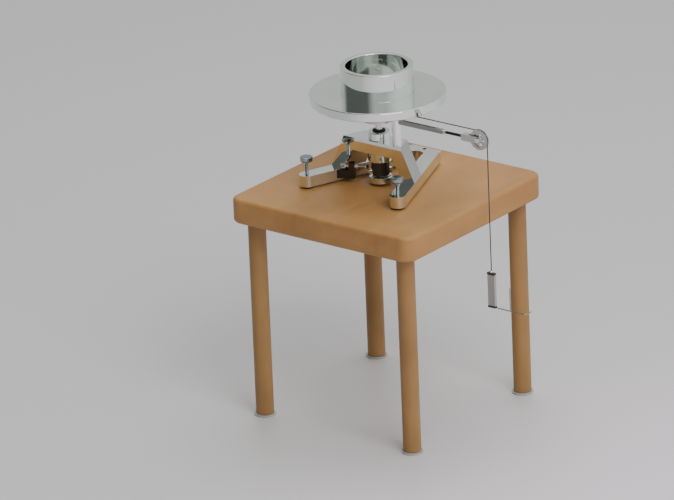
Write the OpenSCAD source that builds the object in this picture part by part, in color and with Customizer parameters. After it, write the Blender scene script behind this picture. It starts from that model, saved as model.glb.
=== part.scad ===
// Rotational inertia apparatus on a four-legged stand.
// A spindle in two ball bearings carries a disc with a removable ring. A cord wound on a
// step pulley runs over a guide pulley on an arm to a falling weight beside the stand.
// Units are millimetres. +X runs along the arm, +Z is up, and the floor is at z = 0.

/* [Stand] */
// Width and depth of the stand's top
stand_w = 370; // [350:5:440]
// Thickness of the stand's top
top_t = 43; // [36:1:52]
// Height of the stand's upper face above the floor
stand_h = 385; // [330:1:460]
// Radius of the top's upright corners
corner_r = 23; // [18:1:40]
// Radius along the top's edges
edge_r = 6.5; // [2:0.5:9]
// Diameter of a leg
leg_d = 30; // [26:1:36]
// Distance from the top's edges to a leg's middle
leg_inset = 33; // [28:0.5:45]
// Diameter of the tenon at a leg's upper end
tenon_d = 22; // [16:1:24]
// Length of the tenon
tenon_l = 24; // [16:1:30]
// Diameter of the glide under a leg
glide_d = 36; // [32:1:44]
// Thickness of the glide
glide_t = 3; // [2:0.5:5]
// Place of the spindle along X from the middle of the stand's top
spindle_dx = -10; // [-20:1:10]

/* [Base frame] */
// Thickness of the base casting
base_t = 19; // [14:0.5:24]
// Gap under the base casting, filled by its feet
base_gap = 4; // [3:0.5:8]
// Width of a leg of the base casting
base_leg_w = 25.5; // [22:0.5:28]
// Diameter of the round boss at a front foot
foot_boss_d = 26.5; // [25:0.5:32]
// Distance between the two front feet
foot_span = 186; // [176:2:220]
// Distance of the front feet in front of the spindle
foot_y = 76.5; // [70:0.5:90]
// Distance from the spindle to the base's rear end
apex_y = 127; // [124:0.5:140]
// Angle of each base leg from the Y axis
splay = 21.25; // [20:0.25:22.5]
// Radius of the rod socket near the rear end
rod_socket_r = 3.5; // [2.5:0.25:4.5]
// Distance from the rod socket to the rear end
rod_socket_in = 7.5; // [6.5:0.25:9]
// Thickness of the pads under the front feet
front_pad_t = 1.8; // [1.6:0.1:2]

/* [Bridge] */
// Height of the bridge's upper face above the base casting
bridge_h = 56.5; // [50:0.5:62]
// Thickness of the bridge's top
bridge_top_t = 22; // [16:0.5:24]
// Distance of the bridge's front face in front of the spindle
bridge_front = 20.5; // [19:0.25:23]
// Depth of the bridge from front to back
bridge_depth = 38; // [36:0.5:44]
// Half width of the bridge's top at its front face
bridge_top_half = 58; // [56:0.5:62]
// Half width of the opening at its upper edge
opening_top_half = 41; // [38:0.5:44]
// Thickness of a bridge side where it meets the base
side_foot_w = 26; // [22:0.5:27]

/* [Levelling screws] */
// Diameter of the thumb head
head_d = 21; // [16:0.5:26]
// Height of the thumb head
head_h = 8; // [6:0.5:10]
// Diameter of the screw
screw_d = 6; // [5:0.25:8]
// Height of the head's upper face above the stand
head_top = 53.5; // [48:0.5:66]
// Diameter of the pad under the screw
pad_d = 18; // [14:0.5:22]

/* [Spindle and bearings] */
// Diameter of the spindle
spindle_d = 12; // [10:0.5:13]
// Outer diameter of a ball bearing
bearing_d = 32; // [30:0.5:33]
// Width of a ball bearing
bearing_w = 10; // [8:0.5:10]
// Diameter of a bearing ball
ball_d = 6; // [5:0.25:6.25]
// Number of balls in a bearing
ball_count = 9; // [7:1:9]
// Wall of the bearing housing above the bridge
housing_wall = 2.5; // [2:0.25:5]
// Height of the housing above the bridge
housing_h = 13.5; // [12:0.5:18]
// Wall of the housing's neck through the bridge
neck_wall = 1.5; // [1.25:0.25:2]
// Wall of the ring nut under the bridge
nut_wall = 2.5; // [1.5:0.25:5]
// Height of the ring nut
nut_h = 15.5; // [13:0.5:18]
// Diameter of the index drum
drum_d = 30; // [26:0.5:31]
// Diameter of the flange at the spindle's foot
flange_d = 38.6; // [34:0.2:42]
// Thickness of the flange at the spindle's foot
flange_h = 10; // [8:0.5:11]
// Gap between the flange and the stand's top
flange_gap = 5; // [3:0.5:8]

/* [Disc and ring] */
// Diameter of the disc
disc_d = 224; // [200:1:250]
// Thickness of the disc
disc_t = 14.5; // [12:0.5:18]
// Height of the disc's upper face above the stand
disc_top = 161.5; // [158:0.1:190]
// Outer diameter of the ring
ring_od = 120; // [112:1:140]
// Wall of the ring
ring_wall = 9; // [6:0.5:12]
// Height of the ring above the disc
ring_h = 46; // [36:1:60]
// Depth of the groove that centres the ring
groove_depth = 1.5; // [1:0.25:3]

/* [Cord and pulleys] */
// Diameter of the cord
cord_d = 2; // [1.5:0.1:2]
// Radius of the cord's middle line on the step pulley's small step
drum_pitch_r = 12; // [11.5:0.25:13]
// Radius of the cord's middle line on the guide pulley
guide_pitch_r = 15.5; // [14:0.25:18]
// Distance of the hanging cord outside the stand's edge
cord_over = 34.3; // [30:0.1:60]
// Thickness of the guide pulley's rim
guide_w = 5; // [4:0.25:6]
// Diameter of the guide pulley's axle
axle_d = 4; // [3:0.25:5]

/* [Arm] */
// Place of the post along X from the spindle
post_x = 46; // [44:0.5:47.5]
// Diameter of the post
post_d = 15.5; // [14:0.25:16]
// Height of the post above the arm's rod
post_over = 7; // [6:0.25:8.5]
// Width of the arm's slotted bar
bar_w = 8; // [7:0.25:10]
// Height of the arm's slotted bar
bar_h = 6.2; // [5.8:0.1:7]
// Distance from the spindle to the bar's outer end
bar_end_x = 142; // [120:1:150]
// Diameter of the arm's rod
rod_d = 5; // [4:0.25:5.25]
// Thickness of a cheek of the pulley's yoke
cheek_t = 2.5; // [2:0.25:3.5]

/* [Weight] */
// Height of the weight's upper end above the stand's upper face (negative is below)
weight_top = -105; // [-160:1:-90]
// Length of the weight with its end caps
weight_l = 61; // [50:1:80]
// Width of the weight
weight_w = 14.5; // [12:0.5:18]
// Thickness of the weight
weight_t = 5; // [5:0.5:9]
// Thickness of an end cap
cap_t = 3.5; // [2.5:0.5:5]
// Diameter of the loading wire
wire_d = 1.8; // [1.6:0.1:2.2]
// Reach of the loading wire from the weight's middle
wire_reach = 66; // [56:1:80]
// Height of the wire's upright prong
prong_h = 40; // [30:1:55]

/* [Lock plunger] */
// Direction of the lock plunger around the spindle
lock_angle = 205; // [204.5:0.5:208]
// Height of the plunger's middle line above the stand
lock_z = 28.5; // [28:0.25:31]
// Diameter of the plunger's rod
lock_rod_d = 5; // [4:0.25:5]
// Outer diameter of the plunger's sleeve
sleeve_d = 9; // [8.5:0.25:9.5]

/* [Fits] */
// Radial clearance of a turning or sliding fit
run_clear = 0.05; // [0.02:0.01:0.1]
// Radial clearance of a part that lifts off
lift_clear = 0.3; // [0.2:0.05:0.5]
// Gap between faces that pass each other
side_gap = 0.5; // [0.3:0.1:0.6]

/* [Hidden] */
$fn = 48;
eps = 0.01;

// Heights from the floor.
table_z = stand_h;
base_z = table_z + base_gap;
base_top_z = base_z + base_t;
bridge_top_z = base_top_z + bridge_h;
bridge_low_z = bridge_top_z - bridge_top_t;
housing_d = bearing_d + 2 * housing_wall;
neck_d = bearing_d + 2 * neck_wall;
nut_d = neck_d + 2 * nut_wall;
disc_top_z = table_z + disc_top;
disc_low_z = disc_top_z - disc_t;

// The frame's origin is under the middle of the whole object, so the stand is off centre.
drop_dx = stand_w / 2 + cord_over;
x_low = -stand_w / 2;
x_high = drop_dx + wire_reach + wire_d / 2;
stand_x = -(x_low + x_high) / 2;
spindle_x = stand_x + spindle_dx;
drop_x = drop_dx - spindle_dx;
guide_x = drop_x - guide_pitch_r;

// Bearings and housing along the spindle.
housing_top_z = bridge_top_z + housing_h;
upper_bearing_z = housing_top_z - bearing_w - 2;
nut_low_z = bridge_low_z - nut_h;
lower_bearing_z = nut_low_z + 3;
race_wall = (bearing_d - spindle_d) / 2 * 0.32;
ball_track_r = (bearing_d + spindle_d) / 4;
ball_clear = 0.08;
seal_t = 1.5;
neck_land = 2;

// Step pulley: groove floors and rims, from the disc downwards.
pulley_rim_t = 2;
groove_w = 7;
cord_r = cord_d / 2;
cord_gap = 0.1;
pulley_top_z = disc_low_z;
pulley_hub_t = 4.5;
step_floor_r = [drum_pitch_r - cord_r - cord_gap, 18, 25];
step_count = len(step_floor_r);
rim_rise = 4.5;
pulley_collar_h = 4;
pulley_collar_r = 11;
step_pitch = groove_w + pulley_rim_t;
pulley_low_z = pulley_top_z - pulley_hub_t - step_count * step_pitch - pulley_collar_h;
cord_z = pulley_top_z - pulley_hub_t - pulley_rim_t - groove_w / 2;
wind_pitch = 2.3;

// Guide pulley and arm.
cord_y = -drum_pitch_r;
guide_z = cord_z - guide_pitch_r;
guide_bore_r = axle_d / 2 + run_clear;
guide_rim_r = guide_pitch_r + cord_r + 0.8;
arm_z = guide_z;
post_top_z = arm_z + rod_d / 2 + post_over;
cheek_y = guide_w / 2 + side_gap;
yoke_x = guide_x - guide_rim_r - 16;
yoke_block_l = 13;
ferrule_l = 5;
ferrule_d = rod_d + 1.4;
rod_grip = 10;
spigot_l = post_d - 3;
post_seat_z = bridge_low_z - 5;
post_screw_l = bridge_top_z + 12 - post_seat_z;
groove_top_w = 2.4;
groove_top_d = 2.2;
yoke_h = 11;
axle_head_t = 2.2;
axle_head_d = 8;
hole_count = 5;

// Weight and wire.
eye_h = 3;
weight_top_z = table_z + weight_top;
weight_low_z = weight_top_z - weight_l;
wire_z = weight_low_z + wire_d / 2 + 0.1;
wire_grip = 4;
prong_x = 36;
hook_l = 16;
cap_over = 0.5;

// Base casting.
foot_x = foot_span / 2;
rod_socket_y = apex_y - rod_socket_in;
rod_socket_l = base_t - 7;
screw_tip = 0.8;
bridge_rear = bridge_depth - bridge_front;
lug_r = 19.4;
lug_w = 7;
lug_h = 9;
drum_seat = 2.5;
flange_low_z = table_z + flange_gap;
drum_low_z = flange_low_z + flange_h + drum_seat;
drum_h = nut_low_z - side_gap - drum_low_z;
spindle_low_z = flange_low_z;
disc_web_t = 5;

// Lock plunger, measured along its line from the spindle.
lock_tip = lug_r + 0.6;
lock_travel = lock_tip - drum_d / 2 - side_gap;
lock_pad_l = 3;
lock_collar_l = 2.5;
spring_space = 12.5;
bracket_w = 11;
bracket_l = 10;
bracket_foot_l = 32;
bracket_foot_h = base_t - 4 - side_gap;
sleeve_start = lock_tip + lock_pad_l + lock_collar_l + spring_space;
bracket_start = sleeve_start + 4.5;
sleeve_end = bracket_start + bracket_l;
knob_start = sleeve_end + lock_travel + side_gap;
lock_knob_d = 9;
lock_knob_l = 9;
spring_wire = 1.1;
spring_turns = 5;

// Screw sizes.
set_screw_d = 4;
cap_screw_d = 5;
cap_head_d = 8.5;
cap_head_h = 5;
hex_d = 3;

wood = [0.66, 0.48, 0.33];
chrome = [0.78, 0.8, 0.79];
steel = [0.62, 0.64, 0.64];
dark = [0.12, 0.12, 0.12];

// Places.

// Everything that stands on the top is drawn around the spindle's axis.
module at_spindle() {
    translate([spindle_x, 0, 0]) children();
}

// The corners of the stand, as pairs of signs.
module at_stand_corner(sx, sy) {
    reach = stand_w / 2 - leg_inset;
    translate([stand_x + sx * reach, sy * reach, 0]) children();
}

// Along the lock plunger's line: x runs outwards from the spindle.
module along_lock() {
    translate([spindle_x, 0, table_z + lock_z]) rotate([0, 0, lock_angle]) children();
}

module rod_x(d, x0, x1) {
    translate([x0, 0, 0]) rotate([0, 90, 0]) cylinder(d = d, h = x1 - x0);
}

// Shapes that repeat.

// A bar's outline with rounded edges, drawn around the middle.
module rounded_outline(w, h, r) {
    square([w - 2 * r, h], center = true);
    square([w, h - 2 * r], center = true);
    for (sx = [-1, 1])
        for (sy = [-1, 1])
            translate([sx * (w / 2 - r), sy * (h / 2 - r)]) circle(r = r);
}

// A socket-head screw pointing down, with its head's underside at z = 0.
module cap_screw(length, d = cap_screw_d, head = cap_head_d, rise = cap_head_h) {
    difference() {
        union() {
            cylinder(d = head, h = rise);
            translate([0, 0, -length]) cylinder(d = d, h = length + eps);
        }
        translate([0, 0, rise - hex_d * 0.8]) cylinder(d = hex_d, h = hex_d, $fn = 6);
    }
}

// A headless screw along +Z from z = 0, with its socket at the upper end.
module grub_screw(length, d = set_screw_d) {
    difference() {
        cylinder(d = d, h = length);
        translate([0, 0, length - d * 0.5]) cylinder(d = d * 0.55, h = d, $fn = 6);
    }
}

// Stand.

module stand_slab() {
    span = stand_w - 2 * corner_r;
    rotate([90, 0, 90]) linear_extrude(span, center = true) rounded_outline(stand_w, top_t, edge_r);
    rotate([90, 0, 0]) linear_extrude(span, center = true) rounded_outline(stand_w, top_t, edge_r);
    for (sx = [-1, 1])
        for (sy = [-1, 1])
            translate([sx * span / 2, sy * span / 2, 0])
                rotate_extrude() intersection() {
                    rounded_outline(2 * corner_r, top_t, edge_r);
                    translate([0, -top_t / 2]) square([corner_r, top_t]);
                }
}

module stand_top() {
    color(wood) difference() {
        translate([stand_x, 0, table_z - top_t / 2]) stand_slab();
        for (sx = [-1, 1])
            for (sy = [-1, 1])
                at_stand_corner(sx, sy)
                    translate([0, 0, table_z - top_t - 1])
                        cylinder(d = tenon_d + 2 * run_clear, h = tenon_l + 1.5);
    }
}

module stand_leg(sx, sy) {
    color(wood) at_stand_corner(sx, sy) {
        translate([0, 0, glide_t]) cylinder(d = leg_d, h = table_z - top_t - glide_t);
        translate([0, 0, table_z - top_t - 1]) cylinder(d = tenon_d, h = tenon_l + 1);
    }
}

module leg_front_left() { stand_leg(-1, -1); }
module leg_front_right() { stand_leg(1, -1); }
module leg_back_left() { stand_leg(-1, 1); }
module leg_back_right() { stand_leg(1, 1); }

module leg_glides() {
    color(steel)
        for (sx = [-1, 1])
            for (sy = [-1, 1])
                at_stand_corner(sx, sy) cylinder(d = glide_d, h = glide_t);
}

// Base casting: two legs that meet at the rear.

module leg_bar_outline(side) {
    translate([side * foot_x, -foot_y]) {
        circle(d = foot_boss_d);
        rotate(side * splay) translate([-base_leg_w / 2, 0]) square([base_leg_w, 2 * apex_y]);
    }
}

// Half width between the legs' inner faces at a place along Y.
function inner_half(y) = foot_x - tan(splay) * (y + foot_y) - base_leg_w / 2 / cos(splay);

web_y = apex_y - 33;

module base_outline() {
    web_half = inner_half(web_y) + 1;
    intersection() {
        union() {
            leg_bar_outline(-1);
            leg_bar_outline(1);
            translate([-web_half, web_y]) square([2 * web_half, apex_y - web_y]);
        }
        translate([-2 * foot_x, -2 * foot_y]) square([4 * foot_x, 2 * foot_y + apex_y]);
    }
}

// Half width to the legs' outer faces at a place along Y.
function outer_half(y) = inner_half(y) + base_leg_w / cos(splay);

module base_frame() {
    end_r = inner_half(web_y) * cos(splay) + 1;
    color(chrome) at_spindle() difference() {
        translate([0, 0, base_z]) linear_extrude(base_t) difference() {
            base_outline();
            translate([0, web_y]) circle(r = end_r);
        }
        for (side = [-1, 1])
            translate([side * foot_x, -foot_y, base_z - 1])
                cylinder(d = screw_d + 2 * run_clear, h = base_t + 2);
        translate([0, rod_socket_y, base_top_z - rod_socket_l])
            cylinder(r = rod_socket_r, h = rod_socket_l + 1);
        at_bridge_screws() {
            translate([0, 0, base_z - 1]) cylinder(d = cap_screw_d + 2 * run_clear, h = base_t + 2);
            translate([0, 0, base_z - 1])
                cylinder(d = cap_head_d + 2 * run_clear, h = cap_head_h + 1.5);
        }
        rear_pad_hole();
    }
}

// The pads under the base.

module front_pad(side) {
    color(dark) at_spindle() translate([side * foot_x, -foot_y, table_z]) difference() {
        cylinder(d = pad_d, h = front_pad_t);
        translate([0, 0, screw_tip]) cylinder(d = screw_d + 2 * run_clear, h = front_pad_t);
    }
}

module front_pad_left() { front_pad(-1); }
module front_pad_right() { front_pad(1); }

module rear_pad_hole() {
    translate([0, rod_socket_y, base_z - 1]) cylinder(d = screw_d, h = 6);
}

module rear_pad() {
    color(dark) at_spindle() translate([0, rod_socket_y, table_z]) {
        cylinder(d = pad_d - 4, h = base_gap);
        cylinder(d = screw_d, h = base_gap + 4);
    }
}

module level_screw(side) {
    head_low = head_top - head_h;
    color(chrome) at_spindle() translate([side * foot_x, -foot_y, table_z]) {
        translate([0, 0, screw_tip]) cylinder(d = screw_d, h = head_low - screw_tip + eps);
        translate([0, 0, head_low]) rotate_extrude() polygon([
            [0, 0], [head_d * 0.28, 0], [head_d * 0.44, head_h * 0.3], [head_d / 2, head_h * 0.62],
            [head_d / 2, head_h * 0.9], [head_d / 2 - head_h * 0.1, head_h], [0, head_h]
        ]);
    }
}

module level_screw_left() { level_screw(-1); }
module level_screw_right() { level_screw(1); }

// Bridge: each half is a bent bar that runs along its base leg, cut square at front and back.

module bridge_half() {
    shift = -bridge_front * sin(splay);
    k = cos(splay);
    low_outer = outer_half(-bridge_front);
    low_inner = low_outer - side_foot_w;
    low = base_top_z;
    rotate([0, 0, splay]) rotate([90, 0, 0]) linear_extrude(6 * bridge_depth, center = true)
        polygon([
            [low_outer * k + shift, low], [bridge_top_half * k + shift, bridge_top_z],
            [shift, bridge_top_z], [shift, bridge_low_z],
            [opening_top_half * k + shift, bridge_low_z], [low_inner * k + shift, low]
        ]);
}

module at_bridge_screws() {
    y = (bridge_rear - bridge_front) / 2;
    for (side = [-1, 1])
        for (dy = [-11, 11])
            translate([side * (outer_half(y + dy) + inner_half(y + dy)) / 2, y + dy, 0]) children();
}

module bridge() {
    color(chrome) at_spindle() difference() {
        intersection() {
            union() {
                bridge_half();
                mirror([1, 0, 0]) bridge_half();
            }
            translate([-foot_x, -bridge_front, base_top_z - 1])
                cube([2 * foot_x, bridge_depth, bridge_h + 2]);
        }
        translate([0, 0, bridge_low_z - 1])
            cylinder(d = neck_d + 2 * run_clear, h = bridge_top_t + 2);
        translate([post_x, cord_y, post_seat_z - 1])
            cylinder(d = cap_screw_d + 2 * run_clear, h = bridge_top_z - post_seat_z + 2);
        translate([post_x, cord_y, base_top_z + 5])
            cylinder(d = cap_head_d + 2 * run_clear, h = post_seat_z - base_top_z - 5);
        at_bridge_screws() translate([0, 0, base_top_z - 1]) cylinder(d = cap_screw_d, h = 14);
    }
}

module bridge_screws() {
    color(steel) at_spindle() at_bridge_screws()
        translate([0, 0, base_z + cap_head_h + 0.5]) mirror([0, 0, 1])
            cap_screw(base_t - cap_head_h - 0.5 + 12);
}

// Bearing housing, its ring nut and the bearings.

module bearing_housing() {
    neck_low = nut_low_z;
    color(chrome) at_spindle() difference() {
        union() {
            translate([0, 0, bridge_top_z]) rotate_extrude() polygon([
                [0, 0], [housing_d / 2, 0], [housing_d / 2, housing_h - 1.2],
                [housing_d / 2 - 1.2, housing_h], [0, housing_h]
            ]);
            translate([0, 0, neck_low]) cylinder(d = neck_d, h = bridge_top_z - neck_low + eps);
        }
        translate([0, 0, neck_low - 1]) cylinder(d = bearing_d - 2 * neck_land, h = housing_top_z - neck_low + 2);
        translate([0, 0, upper_bearing_z]) cylinder(d = bearing_d, h = 20);
        translate([0, 0, neck_low - 1]) cylinder(d = bearing_d, h = lower_bearing_z + bearing_w - neck_low + 1);
    }
}

module ring_nut() {
    color(chrome) at_spindle() difference() {
        translate([0, 0, nut_low_z]) rotate_extrude() polygon([
            [neck_d / 2 + run_clear, 0], [nut_d / 2 - 1, 0], [nut_d / 2, 1],
            [nut_d / 2, nut_h - 1], [nut_d / 2 - 1, nut_h], [neck_d / 2 + run_clear, nut_h]
        ]);
        at_nut_screws() rod_x(set_screw_d, 0, nut_d);
    }
}

module at_nut_screws() {
    for (a = [-110, -50, 10, 130])
        translate([0, 0, nut_low_z + nut_h / 2]) rotate([0, 0, a]) children();
}

module ring_nut_screws() {
    start = neck_d / 2 + run_clear;
    color(dark) at_spindle() at_nut_screws()
        translate([start, 0, 0]) rotate([0, 90, 0]) {
            grub_screw(nut_d / 2 - start + 1.2);
        }
}

module seal_ring() {
    seal_r = 10.7;
    color(dark) at_spindle() translate([0, 0, upper_bearing_z + bearing_w]) difference() {
        union() {
            cylinder(d = bearing_d, h = housing_top_z - upper_bearing_z - bearing_w);
            cylinder(r = seal_r, h = housing_top_z - upper_bearing_z - bearing_w + seal_t);
        }
        translate([0, 0, -1]) cylinder(d = spindle_d + 2 * lift_clear, h = 9);
    }
}

module race_groove() {
    rotate_extrude() translate([ball_track_r, bearing_w / 2]) circle(d = ball_d + 2 * ball_clear);
}

module outer_race(z) {
    color(steel) at_spindle() translate([0, 0, z]) difference() {
        cylinder(d = bearing_d, h = bearing_w);
        translate([0, 0, -1]) cylinder(d = bearing_d - 2 * race_wall, h = bearing_w + 2);
        race_groove();
    }
}

module inner_race(z) {
    color(steel) at_spindle() translate([0, 0, z]) difference() {
        cylinder(d = spindle_d + 2 * race_wall, h = bearing_w);
        translate([0, 0, -1]) cylinder(d = spindle_d, h = bearing_w + 2);
        race_groove();
    }
}

module balls(z) {
    color(chrome) at_spindle() translate([0, 0, z + bearing_w / 2])
        for (i = [0:ball_count - 1])
            rotate([0, 0, i * 360 / ball_count]) translate([ball_track_r, 0, 0]) sphere(d = ball_d);
}

module upper_outer_race() { outer_race(upper_bearing_z); }
module upper_inner_race() { inner_race(upper_bearing_z); }
module upper_balls() { balls(upper_bearing_z); }
module lower_outer_race() { outer_race(lower_bearing_z); }
module lower_inner_race() { inner_race(lower_bearing_z); }
module lower_balls() { balls(lower_bearing_z); }

// Spindle and what turns with it.

module spindle() {
    length = disc_top_z - disc_web_t - spindle_low_z;
    color(chrome) at_spindle() translate([0, 0, spindle_low_z]) difference() {
        cylinder(d = spindle_d, h = length);
        translate([0, 0, length - centre_screw_l]) cylinder(d = screw_d, h = centre_screw_l + 1);
    }
}

// Height of the lower edge of a step's groove, with step 0 the highest.
function step_low(i) = pulley_top_z - pulley_hub_t - (i + 1) * step_pitch;

module step_pulley() {
    color(steel) at_spindle() difference() {
        union() {
            translate([0, 0, pulley_top_z - pulley_hub_t])
                cylinder(r = step_floor_r[0] + rim_rise, h = pulley_hub_t);
            for (i = [0:step_count - 1]) {
                translate([0, 0, step_low(i)]) cylinder(r = step_floor_r[i], h = step_pitch + eps);
                translate([0, 0, step_low(i) + groove_w])
                    cylinder(r = step_floor_r[i] + rim_rise, h = pulley_rim_t);
            }
            translate([0, 0, step_low(step_count - 1) - pulley_rim_t])
                cylinder(r = step_floor_r[step_count - 1] + rim_rise, h = pulley_rim_t);
            translate([0, 0, pulley_low_z]) cylinder(r = pulley_collar_r, h = pulley_collar_h);
        }
        translate([0, 0, pulley_low_z - 1])
            cylinder(d = spindle_d, h = pulley_top_z - pulley_low_z + 2);
        translate([0, 0, pulley_low_z + 2]) rod_x(set_screw_d * 0.6, 0, 2 * pulley_collar_r);
    }
}

module pulley_set_screw() {
    color(dark) at_spindle() translate([spindle_d / 2, 0, pulley_low_z + 2])
        rotate([0, 90, 0]) grub_screw(pulley_collar_r - spindle_d / 2, set_screw_d * 0.6);
}

module index_drum() {
    color(dark) at_spindle() translate([0, 0, drum_low_z]) difference() {
        rotate_extrude() polygon([
            [spindle_d / 2, 0], [drum_d / 2, 0], [drum_d / 2, drum_h - 1],
            [drum_d / 2 - 1, drum_h], [spindle_d / 2, drum_h]
        ]);
        at_lugs() translate([drum_d / 2 - 3, -lug_w / 2, -1]) cube([10, lug_w, lug_h + 1.5]);
    }
}

module at_lugs() {
    for (a = [54, 234])
        rotate([0, 0, a]) children();
}

module drum_lugs() {
    color(chrome) at_spindle() translate([0, 0, drum_low_z + 0.5]) at_lugs()
        translate([drum_d / 2 - 3, -lug_w / 2, 0]) cube([lug_r - drum_d / 2 + 3, lug_w, lug_h]);
}

module foot_flange() {
    color(chrome) at_spindle() translate([0, 0, flange_low_z]) difference() {
        rotate_extrude() polygon([
            [spindle_d / 2, 0], [flange_d / 2 - 1, 0], [flange_d / 2, 1],
            [flange_d / 2, flange_h - 1], [flange_d / 2 - 1, flange_h], [spindle_d / 2, flange_h]
        ]);
        translate([0, 0, flange_h / 2]) rotate([0, 0, 150]) rod_x(set_screw_d, 0, flange_d);
    }
}

module flange_set_screw() {
    color(dark) at_spindle() translate([0, 0, flange_low_z + flange_h / 2]) rotate([0, 0, 150])
        translate([spindle_d / 2, 0, 0]) rotate([0, 90, 0]) grub_screw(6);
}

// Disc and ring.

ring_r = ring_od / 2;
ring_bore_r = ring_r - ring_wall;
centre_head_h = 3;
centre_screw_l = 14;

module disc() {
    r = disc_d / 2;
    bevel = 1;
    color(chrome) at_spindle() translate([0, 0, disc_low_z]) difference() {
        rotate_extrude() polygon([
            [0, 0], [r - bevel, 0], [r, bevel], [r, disc_t - bevel], [r - bevel, disc_t], [0, disc_t]
        ]);
        translate([0, 0, disc_t - groove_depth]) difference() {
            cylinder(r = ring_r + lift_clear, h = groove_depth + 1);
            translate([0, 0, -1]) cylinder(r = ring_bore_r - lift_clear, h = groove_depth + 3);
        }
        translate([0, 0, -1]) cylinder(d = spindle_d, h = disc_t - disc_web_t + 1);
        cylinder(d = screw_d, h = disc_t + 1);
        translate([0, 0, disc_t - centre_head_h]) centre_head();
    }
}

// The countersunk head, widening upwards from z = 0.
module centre_head() {
    cylinder(d1 = screw_d, d2 = screw_d + 2 * centre_head_h, h = centre_head_h);
}

module centre_screw() {
    low = disc_web_t + centre_screw_l;
    color(steel) at_spindle() translate([0, 0, disc_top_z]) difference() {
        union() {
            translate([0, 0, -low]) cylinder(d = screw_d, h = low);
            translate([0, 0, -centre_head_h]) centre_head();
        }
        translate([0, 0, -2.4]) cylinder(d = hex_d * 1.3, h = 3, $fn = 6);
    }
}

module ring() {
    low = disc_top_z - groove_depth;
    h = ring_h + groove_depth;
    bevel = 0.9;
    color(chrome) at_spindle() translate([0, 0, low]) rotate_extrude() polygon([
        [ring_bore_r + bevel, 0], [ring_r - bevel, 0], [ring_r, bevel], [ring_r, h - bevel],
        [ring_r - bevel, h], [ring_bore_r + bevel, h], [ring_bore_r, h - bevel], [ring_bore_r, bevel]
    ]);
}

// Post and arm.

module at_post() {
    at_spindle() translate([post_x, cord_y, 0]) children();
}

// Along the arm: x is counted from the spindle, and the rod's middle line is at y = z = 0.
module along_arm() {
    at_spindle() translate([0, cord_y, arm_z]) children();
}

module post() {
    color(chrome) difference() {
        at_post() translate([0, 0, bridge_top_z]) rotate_extrude() polygon([
            [0, 0], [post_d / 2, 0], [post_d / 2, post_top_z - bridge_top_z - 1],
            [post_d / 2 - 1, post_top_z - bridge_top_z], [0, post_top_z - bridge_top_z]
        ]);
        at_post() translate([0, 0, bridge_top_z - 1])
            cylinder(d = cap_screw_d, h = post_screw_l - bridge_top_z + post_seat_z + 2);
        at_post() translate([0, 0, arm_z]) cylinder(d = set_screw_d, h = post_top_z);
        along_arm() rod_x(rod_d, post_x + post_d / 2 - spigot_l, post_x + post_d);
    }
}

module post_screw() {
    color(steel) at_post() translate([0, 0, post_seat_z]) mirror([0, 0, 1])
        cap_screw(post_screw_l);
}

module arm_set_screw() {
    start = arm_z + rod_d / 2;
    color(dark) at_post() translate([0, 0, start]) grub_screw(post_top_z - start - 0.8);
}

module arm_bar() {
    start = post_x + post_d / 2;
    color(steel) difference() {
        along_arm() union() {
            rod_x(rod_d, start - spigot_l, start + 2);
            difference() {
                translate([post_x, -bar_w / 2, -bar_h / 2]) cube([bar_end_x - post_x, bar_w, bar_h]);
                translate([post_x, 0, -bar_h]) cylinder(d = post_d, h = 2 * bar_h);
                translate([start + 6, -groove_top_w / 2, bar_h / 2 - groove_top_d])
                    cube([bar_end_x - start - 12 - rod_grip, groove_top_w, groove_top_d + 1]);
            }
        }
        along_arm() rod_x(rod_d, bar_end_x - rod_grip, bar_end_x + 1);
    }
}

module arm_ferrule() {
    color(chrome) along_arm() difference() {
        rod_x(ferrule_d, bar_end_x, bar_end_x + ferrule_l);
        rod_x(rod_d, bar_end_x - 1, bar_end_x + ferrule_l + 1);
    }
}

module arm_rod() {
    color(dark) along_arm() rod_x(rod_d, bar_end_x - rod_grip, yoke_x + yoke_block_l - 4);
}

module pulley_yoke() {
    outer = cheek_y + cheek_t;
    color(steel) along_arm() difference() {
        union() {
            translate([yoke_x, -outer, -yoke_h / 2]) cube([yoke_block_l, 2 * outer, yoke_h]);
            for (side = [-1, 1])
                translate([0, side * (cheek_y + cheek_t / 2), 0]) rotate([90, 0, 0])
                    linear_extrude(cheek_t, center = true) {
                        translate([yoke_x, -yoke_h / 2]) square([guide_x - yoke_x, yoke_h]);
                        translate([guide_x, 0]) circle(d = yoke_h);
                    }
        }
        rod_x(rod_d, yoke_x - 1, yoke_x + yoke_block_l - 4);
        translate([guide_x, 0, 0]) rotate([90, 0, 0]) cylinder(d = axle_d, h = 4 * outer, center = true);
    }
}

module pulley_axle() {
    outer = cheek_y + cheek_t;
    color(chrome) along_arm() translate([guide_x, 0, 0]) rotate([90, 0, 0]) {
        translate([0, 0, -outer - axle_head_t]) cylinder(d = axle_d, h = 2 * outer + axle_head_t + eps);
        translate([0, 0, outer]) cylinder(d = axle_head_d, h = axle_head_t);
    }
}

module axle_clip() {
    outer = cheek_y + cheek_t;
    color(dark) along_arm() translate([guide_x, 0, 0]) rotate([90, 0, 0])
        translate([0, 0, -outer - 1]) difference() {
            cylinder(d = axle_head_d, h = 1);
            translate([0, 0, -1]) cylinder(d = axle_d, h = 3);
        }
}

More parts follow.
